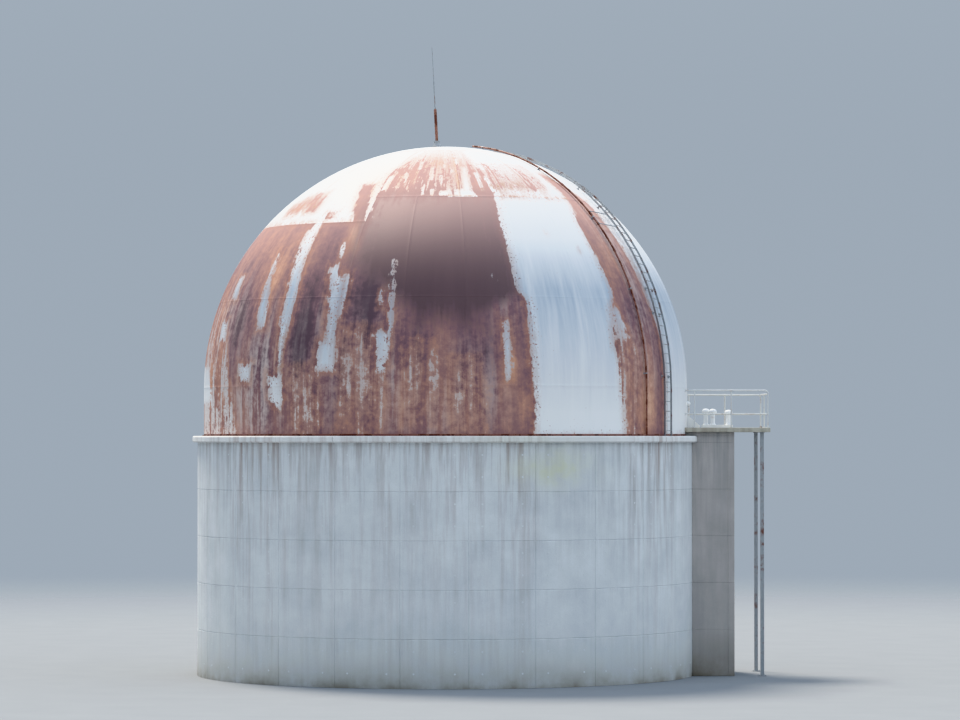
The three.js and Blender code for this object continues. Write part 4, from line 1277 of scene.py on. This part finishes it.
# %% Stand the mast on the crown
MAST_LEAN = math.radians(3)
MAST_OFFSET = 0.27
FLANGE_TOP, FLANGE_BOLTS = 0.022, 0.18
COLLAR_LEVEL, COLLAR_RADIUS = 0.165, 0.084
PIPE_FOOT, PIPE_TOP, PIPE_RADIUS = 0.1303, 1.2, 0.045
WHIP_JOINT, WHIP_TOP = 2.05, 3.16
BALL_RADIUS = 0.0145
mast_up = Vector((-math.sin(MAST_LEAN), 0, math.cos(MAST_LEAN)))
mast_side = mast_up.orthogonal().normalized()
mast_root = Vector((AXIS_X - MAST_OFFSET, 0, SPRING + math.sqrt(DOME_RADIUS**2 - MAST_OFFSET**2)))


def up_mast(distance):
    """A point on the mast's line, at a distance from the dome's skin."""
    return mast_root + mast_up * distance


def from_mast(turn):
    """A direction square to the mast's line."""
    return mast_side * math.cos(turn) + mast_up.cross(mast_side) * math.sin(turn)


def mast_rods(rows):
    """Rods along the mast's line; each row is where one starts and ends, its two radii and its sides."""
    work = bmesh.new()
    for start, end, radius, end_radius, sides in rows:
        rod(work, up_mast(start), up_mast(end), radius, end_radius, sides)
    return work


work = mast_rods([
    (-0.03, FLANGE_TOP, 0.21, 0.21, 40), (FLANGE_TOP, 0.13, 0.15, 0.1, 32),
    (0.12, 0.208, 0.085, 0.085, 32), (0.19, 0.208, 0.09, 0.09, 32),
])
for turn in turns(8, math.pi / 8):
    hex_bolt(work, up_mast(FLANGE_TOP) + from_mast(turn) * FLANGE_BOLTS, mast_up, 0.016)
for turn in turns(3):
    hex_bolt(work, up_mast(COLLAR_LEVEL) + from_mast(turn) * COLLAR_RADIUS, from_mast(turn), 0.012)
finish_piece("mast_pedestal", work, galvanised, ["mast_foot"], edge=0.003)

work = mast_rods([
    (PIPE_FOOT, 1.1, PIPE_RADIUS, PIPE_RADIUS, 24), (1.08, PIPE_TOP, PIPE_RADIUS, PIPE_RADIUS, 24),
    (PIPE_TOP, 1.23, PIPE_RADIUS, 0.026, 24),
    (0.45, 0.485, 0.05, 0.05, 24), (0.78, 0.815, 0.05, 0.05, 24),
])
finish_piece("mast_tube", work, rusted_pipe, ["mast_pipe"], edge=0.002)

work = mast_rods([
    (1.2303, 1.29, 0.018, 0.018, 6), (1.29, WHIP_JOINT, 0.016, 0.014, 12),
    (WHIP_JOINT, 2.09, 0.018, 0.018, 12), (2.09, WHIP_TOP, 0.01, 0.007, 10),
])
ball = Matrix.Translation(up_mast(WHIP_TOP + 0.005))
bmesh.ops.create_uvsphere(work, u_segments=12, v_segments=8, radius=BALL_RADIUS, matrix=ball)
finish_piece("mast_antenna", work, galvanised, ["mast_whip"])

# %% [markdown]
# ## Ladder and conduit on the right flank
# The ladder's two stringers are flat bar bent to the dome's curve, each in its own upright plane, so the
# ladder keeps its width all the way up. The CAD ladder already has that shape and only gets its zinc. What
# was bolted on comes as extra pieces: a pad under every lug, and splice plates where its three lengths
# meet. The conduit is a plain steel pipe in another such plane, with screwed couplings and a saddle clamp
# over every lug.

# %% Find lines on the flank
FLANK_AZIMUTH = 50
LADDER_OFFSET = 1.65
LADDER_WIDTH = 0.46
LADDER_ENDS = (0, 20, 52, 84)
STRINGER_DEPTH = 0.065
STRINGER_THICKNESS = 0.012
STANDOFF = 0.065
CONDUIT_OFFSET = 0.37
CONDUIT_RADIUS = 0.03
CONDUIT_STANDOFF = 0.04
CONDUIT_END = 84
CONDUIT_LUGS = (3, 23, 43, 63, 81)

dome_centre = Vector((AXIS_X, 0, SPRING))
flank_out = outward(FLANK_AZIMUTH)
flank_across = outward(FLANK_AZIMUTH + 90)


def flank_radius(offset, standoff):
    """The radius, in the plane at an offset, of a line that stands off the dome."""
    return math.sqrt((DOME_RADIUS + standoff) ** 2 - offset**2)


def flank_point(offset, radius, angle):
    """A point in the flank plane at an offset."""
    turn = math.radians(angle)
    return dome_centre + flank_across * offset + (flank_out * math.cos(turn) + UP * math.sin(turn)) * radius


def skin_below(point):
    """The nearest point of the dome's skin, and the direction out of it."""
    centre = dome_centre if point.z > SPRING else Vector((AXIS_X, 0, point.z))
    out = (point - centre).normalized()
    return centre + out * DOME_RADIUS, out


# %% Fasten the ladder
SPLICE_SPAN = 1.5
SPLICE_THICKNESS = 0.008
SPLICE_INSET = 0.008
SPLICE_DEPTH = 0.049
SPLICE_BOLTS = (0.14, 0.36, 0.64, 0.86)
PAD_RADIUS, PAD_PLATE = 0.055, 0.009
BOSS_FOOT, BOSS_TOP, BOSS_HEIGHT = 0.032, 0.022, 0.016
LUG_SHARES = (0.12, 0.88)
work = bmesh.new()
for start, stop in zip(LADDER_ENDS, LADDER_ENDS[1:]):
    for share in LUG_SHARES:
        for side in (-1, 1):
            offset = LADDER_OFFSET + side * LADDER_WIDTH / 2
            bar_middle = flank_radius(offset, STANDOFF) + STRINGER_DEPTH / 2
            foot, out = skin_below(flank_point(offset, bar_middle, start + (stop - start) * share))
            rod(work, foot - out * 0.01, foot + out * PAD_PLATE, PAD_RADIUS, segments=24)
            rod(work, foot, foot + out * BOSS_HEIGHT, BOSS_FOOT, BOSS_TOP)
finish_piece("ladder_pads", work, galvanised)

work = bmesh.new()
for angle in LADDER_ENDS[1:3]:
    for side in (-1, 1):
        offset = LADDER_OFFSET + side * (LADDER_WIDTH / 2 + STRINGER_THICKNESS / 2)
        inner = flank_radius(LADDER_OFFSET + side * LADDER_WIDTH / 2, STANDOFF) + SPLICE_INSET
        outer = inner + SPLICE_DEPTH
        first, last = angle - SPLICE_SPAN / 2, angle + SPLICE_SPAN / 2
        thickness = flank_across * side * SPLICE_THICKNESS
        corners = [(inner, first), (outer, first), (outer, last), (inner, last)]
        near = [flank_point(offset, radius, turn) for radius, turn in corners]
        close_rings(work, [[point + thickness for point in near], near])
        for share in SPLICE_BOLTS:
            seat = flank_point(offset, (inner + outer) / 2, first + SPLICE_SPAN * share) + thickness
            hex_bolt(work, seat, flank_across * side, 0.012)
finish_piece("ladder_splices", work, galvanised, edge=0.002)
for name in ("ladder_lower", "ladder_middle", "ladder_upper", "ladder_tie_frame"):
    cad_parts[name].data.materials.clear()
    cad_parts[name].data.materials.append(galvanised)

# %% Run the conduit
COUPLING_EVERY = 11
COUPLING_HALF = 0.35
SADDLE_HALF, SADDLE_PLATE = (0.062, 0.022), 0.012
STOOL_HALF, STOOL_TOP = (0.024, 0.014), 0.046
CLAMP_HALF, CLAMP_BOLT = 0.018, 0.048
line_radius = flank_radius(CONDUIT_OFFSET, CONDUIT_STANDOFF + CONDUIT_RADIUS)
foot_point = flank_point(CONDUIT_OFFSET, line_radius, 0)
work = bmesh.new()
path = [Vector((foot_point.x, foot_point.y, LEDGE_TOP + SEAT_GAP)), foot_point]
path += [flank_point(CONDUIT_OFFSET, line_radius, angle) for angle in np.linspace(1.5, CONDUIT_END, 56)]
tube(work, path, CONDUIT_RADIUS, 14)
for angle in np.arange(COUPLING_EVERY, CONDUIT_END, COUPLING_EVERY):
    coupling = (angle - COUPLING_HALF, angle + COUPLING_HALF)
    ends = [flank_point(CONDUIT_OFFSET, line_radius, end) for end in coupling]
    rod(work, *ends, CONDUIT_RADIUS * 1.22, segments=14)
rod(work, path[0], path[0] + UP * 0.018, 0.04, segments=20)
finish_piece("conduit_pipe", work, rusted_pipe, ["conduit"])

work = bmesh.new()
for angle in CONDUIT_LUGS:
    on_line = flank_point(CONDUIT_OFFSET, line_radius, angle)
    foot, out = skin_below(on_line)
    along = (flank_point(CONDUIT_OFFSET, line_radius, angle + 0.5) - on_line).normalized()
    across = along.cross(out)
    turn = Matrix((across, along, out)).transposed().to_4x4()
    turn.translation = foot
    for (x, y), bottom, top in ((SADDLE_HALF, -0.01, SADDLE_PLATE), (STOOL_HALF, 0.01, STOOL_TOP)):
        block(work, (-x, -y, bottom), (x, y, top), turn)
    ends = (on_line - along * CLAMP_HALF, on_line + along * CLAMP_HALF)
    rod(work, *ends, CONDUIT_RADIUS * 1.12, segments=18)
    for side in (-1, 1):
        hex_bolt(work, foot + across * side * CLAMP_BOLT + out * SADDLE_PLATE, out, 0.01)
finish_piece("conduit_clamps", work, galvanised, edge=0.002)

# %% [markdown]
# ## Annex under the deck
# A small room was cast against the drum in the same lifts, with a steel door in its far end. Each wall is a
# stack of cast blocks, one to a lift. Their bevelled arrises meet as the same V joint that the drum has.
# The doorway is left out of the two lifts that it passes through.

# %% Cast the annex walls
ARRIS = 0.011
annex_high = box_of("annex_")[1]
end_low, end_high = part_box("annex_end_wall")
door_low, door_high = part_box("annex_door")


def stacked_wall(name, node, outlines):
    """A wall of lifts; outlines gives a lift's blocks, each a plan outline and two levels."""
    work = bmesh.new()
    levels = [lift * LIFT_HEIGHT for lift in range(LIFT_COUNT + 1)] + [LEDGE_TOP, annex_high.z - SEAT_GAP]
    for bottom, top in zip(levels, levels[1:]):
        for outline, low, high in outlines(bottom, top):
            prism(work, outline, high - low, Matrix.Translation((0, 0, low)))
    piece = finish_piece(name, work, thin_wash_and_shade, [node], edge=ARRIS)
    add_stain_fields(piece, {
        # Darker towards the top, under the deck: dirt runs and painted shade
        "seep": lambda x, y, z: 0.8 * np.exp(-(annex_high.z - z) / 1.2) + 0.25,
        "growth": lambda x, y, z: 0.35 * np.exp(-z / 0.9),
        "soil": lambda x, y, z: np.exp(-z / 0.5),
    })


def end_outlines(bottom, top):
    """The end wall's blocks in one lift, around the doorway."""
    left, right, head = door_low.y - SEAT_GAP, door_high.y + SEAT_GAP, door_high.z + SEAT_GAP
    blocks = [(end_low.y, end_high.y, bottom, top)]
    if bottom < head:
        blocks = [(end_low.y, left, bottom, top), (right, end_high.y, bottom, top)]
        if bottom == 0:
            blocks.append((left, right, 0, door_low.z))
        if top > head:
            blocks.append((left, right, head, top))
    x0, x1 = end_low.x, end_high.x
    return [([(x0, y0), (x1, y0), (x1, y1), (x0, y1)], low, high) for y0, y1, low, high in blocks]


def side_outlines(low, high):
    """A rule for a side wall's blocks, which start against the drum, the ledge or the skirt."""

    def outlines(bottom, top):
        radius = WALL_RADIUS if top <= WALL_TOP + 0.001 else LEDGE_RADIUS if top <= LEDGE_TOP else DOME_RADIUS
        starts = [AXIS_X + math.sqrt(radius**2 - y**2) for y in (low.y, high.y)]
        return [([(starts[0], low.y), (high.x, low.y), (high.x, high.y), (starts[1], high.y)], bottom, top)]

    return outlines


for side in ("front", "back"):
    node = f"annex_{side}_wall"
    stacked_wall(f"annex_wall_{side}", node, side_outlines(*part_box(node)))
stacked_wall("annex_wall_end", "annex_end_wall", end_outlines)

# %% [markdown]
# The door is a pressed steel leaf in a folded steel frame. Two shallow panels stiffen the leaf, a louvre
# lets the room breathe, and it hangs on three lift-off hinges. Each of those is a real edge that catches
# light, so each is modelled. The sill is the concrete's own, with a steel threshold.

# %% Hang the annex door
JAMB = 0.045
JAMB_GAP = 0.002
FRAME_INSET = 0.012
FRAME_BACK = 0.02
PANEL_HALF = 0.31
PANEL_BAR = 0.02
PANELS = [(0.95, 1.85), (0.2, 0.42)]
LOUVRE_FOOT = 0.5
SLAT_EVERY = 0.04
SLAT_HALF = 0.27
HINGE_LEVELS = (0.35, 1.1, 1.9)
LOCK_LEVEL, LOCK_PLATE = 0.94, (0.005, 0.045, 0.21)
SPINDLE_RISE, KEYHOLE_RISE = 0.15, 0.05
leaf_back, leaf_face = door_low.x, door_high.x
left, right, head = door_low.y + JAMB, door_high.y - JAMB, door_high.z - JAMB
work = bmesh.new()
block(work, (leaf_back, left, door_low.z + 0.012), (leaf_face, right, head))
for low, high in PANELS:
    within = (low + PANEL_BAR, high - PANEL_BAR)
    for y0, y1, z0, z1 in (
        (-PANEL_HALF, PANEL_HALF, low, within[0]), (-PANEL_HALF, PANEL_HALF, within[1], high),
        (-PANEL_HALF, PANEL_BAR - PANEL_HALF, *within), (PANEL_HALF - PANEL_BAR, PANEL_HALF, *within),
    ):
        block(work, (leaf_face - 0.002, y0, z0), (leaf_face + 0.007, y1, z1))
slat_tilt = Matrix.Rotation(math.radians(35), 4, "Y")
for slat in range(9):
    place = Matrix.Translation((leaf_face + 0.002, 0, LOUVRE_FOOT + slat * SLAT_EVERY))
    block(work, (-0.012, -SLAT_HALF, -0.002), (0.016, SLAT_HALF, 0.002), place @ slat_tilt)
finish_piece("door_leaf", work, door_paint, ["annex_door"], edge=0.003)

work = bmesh.new()
back, out = leaf_back - FRAME_BACK, end_high.x - FRAME_INSET
for start, end in (
    ((back, door_low.y, door_low.z), (out, left - JAMB_GAP, door_high.z)),
    ((back, right + JAMB_GAP, door_low.z), (out, door_high.y, door_high.z)),
    ((back, left, head + JAMB_GAP), (out, right, door_high.z)),
    ((back, left, door_low.z), (out + 0.03, right, door_low.z + 0.01)),
):
    block(work, start, end)
finish_piece("door_frame", work, door_paint, edge=0.004)

work = bmesh.new()
for level in HINGE_LEVELS:
    pin = Vector((leaf_face + 0.01, right, door_low.z + level))
    rod(work, pin - UP * 0.05, pin + UP * 0.05, 0.01)
    rod(work, pin + UP * 0.05, pin + UP * 0.058, 0.007)
plate_low = Vector((leaf_face - 0.001, left + 0.03, door_low.z + LOCK_LEVEL))
block(work, plate_low, plate_low + Vector(LOCK_PLATE))
lock_middle = plate_low + Vector((0, LOCK_PLATE[1] / 2, 0))
spindle = lock_middle + UP * SPINDLE_RISE
rod(work, spindle, spindle + Vector((0.058, 0, 0)), 0.009)
lever = [(-0.004, 0), (0.02, 0.001), (0.08, 0), (0.12, -0.004)]
tube(work, [spindle + Vector((0.05, step, drop)) for step, drop in lever], 0.0085, 12)
keyhole = lock_middle + UP * KEYHOLE_RISE
rod(work, keyhole + Vector((0.004, 0, 0)), keyhole + Vector((0.01, 0, 0)), 0.011)
finish_piece("door_hinges_and_lever", work, galvanised, edge=0.001)

# %% [markdown]
# ## Deck
# The deck is one cast slab that fits round the skirt. Its inner edge follows the dome's curve, its outer
# arrises are worn, and two box-section posts carry its free end. The posts stand on base plates with anchor
# bolts and take the slab on cap plates. It is paler and warmer than the walls, because sun and rain keep it
# clean.

# %% Cast the deck and stand its posts
CAP_PLATE = 0.012
CAP_HALF = 0.085
FOOT_PLATE = 0.016
FOOT_HALF = 0.12
BOLT_CIRCLE = 0.092 * math.sqrt(2)
deck_low, deck_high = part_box("deck_slab")
curve = [math.asin(y / DOME_RADIUS) for y in np.linspace(deck_high.y, deck_low.y, 25)]
outline = [(AXIS_X + DOME_RADIUS * math.cos(t), DOME_RADIUS * math.sin(t)) for t in curve]
outline += [(deck_high.x, deck_low.y), (deck_high.x, deck_high.y)]
work = bmesh.new()
prism(work, outline, deck_high.z - deck_low.z, Matrix.Translation((0, 0, deck_low.z)))
deck = finish_piece("deck_cast_slab", work, broomed, ["deck_slab"], edge=0.012)
add_stain_fields(deck, {
    # The underside is darkened more, as painted shade; a little grime lies everywhere
    "seep": lambda x, y, z: 0.3 + 0.5 * (z < deck_low.z + 0.03),
    "rust_seep": lambda x, y, z: 0.4 * np.exp(-(x - deck_low.x) / 0.4),
    "growth": lambda x, y, z: 0.2,
})

for side in ("front", "back"):
    node = f"deck_post_{side}"
    low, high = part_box(node)
    x, y = (low.x + high.x) / 2, (low.y + high.y) / 2
    work = bmesh.new()
    block(work, (low.x, low.y, 0.0), (high.x, high.y, high.z - CAP_PLATE))
    for half, bottom, top in ((FOOT_HALF, 0.0, FOOT_PLATE), (CAP_HALF, high.z - CAP_PLATE - 0.002, high.z)):
        block(work, (x - half, y - half, bottom), (x + half, y + half, top))
    for turn in turns(4, math.pi / 4):
        out = Vector((math.cos(turn), math.sin(turn), 0)) * BOLT_CIRCLE
        hex_bolt(work, Vector((x, y, FOOT_PLATE)) + out, UP, 0.016)
    finish_piece(f"deck_column_{side}", work, galvanised, [node], edge=0.005)

# %% [markdown]
# The guard rail is steel tube. On each long side the top rail starts in a flange on the dome, runs out, and
# bends down to become the end post. The other posts and the middle rail are welded to it in short sleeves,
# and every post stands in a bolted flange. The back rail is a little lower, as the photograph shows.

# %% Put up the guard rails
RAIL_RADIUS = 0.024
MIDDLE_RADIUS = RAIL_RADIUS * 0.8
RAIL_BEND = 0.1
RAIL_POST_SPACING = 1.15
SLEEVE = 0.006
SLEEVE_RADIUS = RAIL_RADIUS + SLEEVE
SLEEVE_REACH = 0.045
BEND_STEPS = 8
MIDDLE_RISE = 0.43
FLANGE_RADIUS, FLANGE_PLATE, FLANGE_BOLT_CIRCLE = 0.062, 0.01, 0.045
deck_level = deck_high.z
middle_level = deck_level + MIDDLE_RISE
rail_end_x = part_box("guard_rail_end")[1].x - RAIL_RADIUS


def bent(start, corner, end, radius):
    """A path from start to end that rounds its corner."""
    start, corner, end = Vector(start), Vector(corner), Vector(end)
    one, other = (start - corner).normalized(), (end - corner).normalized()
    centre = corner + (one + other) * radius
    bends = [math.pi / 2 * step / BEND_STEPS for step in range(BEND_STEPS + 1)]
    return [start] + [centre - (other * math.cos(t) + one * math.sin(t)) * radius for t in bends] + [end]


def post(work, x, y, top=None, along=None):
    """A post's flange and middle sleeve; with a top and the rail's direction, its tube and top sleeve."""
    foot = Vector((x, y, deck_level))
    plate = foot + UP * FLANGE_PLATE
    rod(work, foot, plate, FLANGE_RADIUS, segments=24)
    rod(work, plate, foot + UP * 0.05, SLEEVE_RADIUS, segments=20)
    for turn in turns(3, 0.4):
        hex_bolt(work, plate + Vector((math.cos(turn), math.sin(turn), 0)) * FLANGE_BOLT_CIRCLE, UP, 0.01)
    rod(work, (x, y, middle_level - 0.04), (x, y, middle_level + 0.04), SLEEVE_RADIUS)
    if top:
        head = Vector((x, y, top))
        rod(work, (x, y, deck_level), head, RAIL_RADIUS)
        rod(work, head - along * SLEEVE_REACH, head + along * SLEEVE_REACH, SLEEVE_RADIUS, segments=20)


for side in ("front", "back"):
    node = f"guard_rail_{side}"
    low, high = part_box(node)
    y, top = (low.y + high.y) / 2, high.z - RAIL_RADIUS
    wall_x = AXIS_X + math.sqrt(DOME_RADIUS**2 - y**2) - 0.004
    work = bmesh.new()
    path = bent((wall_x, y, top), (rail_end_x, y, top), (rail_end_x, y, deck_level + SEAT_GAP), RAIL_BEND)
    tube(work, path, RAIL_RADIUS)
    tube(work, [(wall_x, y, middle_level), (rail_end_x, y, middle_level)], MIDDLE_RADIUS)
    post(work, rail_end_x, y)
    for step in (1, 2):
        post(work, rail_end_x - step * RAIL_POST_SPACING, y, top, Vector((1, 0, 0)))
    out = Vector((wall_x - AXIS_X, y, 0)).normalized()
    for level in (top, middle_level):
        seat = Vector((AXIS_X, 0, level)) + out * (DOME_RADIUS - 0.002)
        rod(work, seat, seat + out * 0.01, 0.055, segments=24)
    finish_piece(f"guard_rail_tube_{side}", work, rail_paint, [node], edge=0.0015)

low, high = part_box("guard_rail_end")
top = high.z - RAIL_RADIUS
work = bmesh.new()
post(work, rail_end_x, 0, top, Vector((0, 1, 0)))
for level, radius in ((top, RAIL_RADIUS), (middle_level, MIDDLE_RADIUS)):
    tube(work, [(rail_end_x, low.y, level), (rail_end_x, high.y, level)], radius)
    for y, inward in ((low.y, 0.05), (high.y, -0.05)):
        rod(work, (rail_end_x, y, level), (rail_end_x, y + inward, level), radius + SLEEVE, segments=20)
finish_piece("guard_rail_tube_end", work, rail_paint, ["guard_rail_end"], edge=0.0015)

# %% [markdown]
# Two steps lead from the deck up to the hatch. Their sides are plate, cut to the slope that the photograph
# shows as one bright line, and each tread is a bent plate with a nosing and raised bars against slipping.

# %% Weld the steps
STEP_RISE = 0.14
STEP_COUNT = 2
STEP_GOING = 0.15
STEP_PLATE = 0.014
STEP_TOE = 0.06
TREAD_DROP = 0.03
TREAD_PLATE = 0.008
BAR_EVERY = 0.026
BAR_HALF = 0.005
BAR_MARGIN = 0.03
steps_low, steps_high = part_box("hatch_steps")
inner_y = steps_high.y - STEP_PLATE
step_back, step_foot = skirt_face - 0.001, deck_level + SEAT_GAP
slope = [
    (step_back, step_foot), (steps_high.x, step_foot), (steps_high.x, deck_level + STEP_RISE / 2),
    (step_back, steps_high.z),
]
upright = Matrix(((1, 0, 0, 0), (0, 0, -1, 0), (0, 1, 0, 0), (0, 0, 0, 1)))
work = bmesh.new()
for y in (steps_low.y + STEP_PLATE, steps_high.y):
    prism(work, slope, STEP_PLATE, Matrix.Translation((0, y, 0)) @ upright)
bar_end = inner_y - BAR_MARGIN
for step in range(STEP_COUNT):
    nose = steps_high.x - STEP_TOE - step * STEP_GOING
    level = deck_level + (step + 1) * STEP_RISE
    block(work, (step_back, -inner_y, level - TREAD_PLATE), (nose, inner_y, level))
    block(work, (nose - TREAD_PLATE, -inner_y, level - TREAD_DROP), (nose, inner_y, level - 0.006))
    for bar in range(5):
        at = nose - BAR_MARGIN - bar * BAR_EVERY
        if at > skirt_face + 0.01:
            block(work, (at - BAR_HALF, -bar_end, level - 0.001), (at + BAR_HALF, bar_end, level + 0.004))
finish_piece("hatch_step_plates", work, vent_paint, ["hatch_steps"], edge=0.002)

# %% [markdown]
# ## Roof vents
# Three mushroom vents stand on a curb over the annex. They are the brightest thing at that end of the
# photograph, freshly enamelled sheet metal. A spun cap with a rolled rim covers each pipe, and a storm
# collar seals its foot. The shapes are round, so each is turned from a profile of radii and heights.

# %% Set the vents
VENT_SPOTS = [(8.18, -0.72, 0.6), (8.385, -0.89, 0.59), (8.89, -0.77, 0.56)]
VENT_PIPE = 0.07
VENT_CAP = 0.125
VENT_CAP_HEIGHT = 0.13
CURB_HEIGHT = 0.09
CURB_LID = 0.012
# Each row is a share of the cap's radius and a height above the cap's foot
CAP_SHAPE = [(0.904, 0.01), (0.968, 0), (1, 0.006), (1, 0.05), (0.95, 0.075), (0.78, 0.1), (0.48, 0.12),
             (0.12, 0.129), (0.032, VENT_CAP_HEIGHT)]
vents_low, vents_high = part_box("roof_vents")


def spun(work, place, profile, segments=28):
    """A shape turned about an upright line through place; its profile goes from the foot to the top."""
    circle = [Vector((math.cos(t), math.sin(t), 0)) for t in turns(segments)]
    close_rings(work, [[place + out * radius + UP * height for out in circle] for radius, height in profile])


work = bmesh.new()
curb_top = deck_level + CURB_HEIGHT
for low, high in ((deck_level + SEAT_GAP, curb_top - CURB_LID), (curb_top - CURB_LID - 0.002, curb_top)):
    block(work, (vents_low.x, vents_low.y, low), (vents_high.x, vents_high.y, high))
for x, y, height in VENT_SPOTS:
    spot = Vector((AXIS_X + x, y, deck_level))
    spun(work, spot, [
        (VENT_PIPE + 0.035, CURB_HEIGHT - 0.002), (VENT_PIPE + 0.03, CURB_HEIGHT + 0.008),
        (VENT_PIPE + 0.006, CURB_HEIGHT + 0.04), (VENT_PIPE, CURB_HEIGHT + 0.06), (VENT_PIPE, height - 0.07),
    ])
    cap_foot = height - VENT_CAP_HEIGHT
    spun(work, spot, [(VENT_CAP * share, cap_foot + rise) for share, rise in CAP_SHAPE])
finish_piece("mushroom_vents", work, vent_paint, ["roof_vents"], edge=0.003)
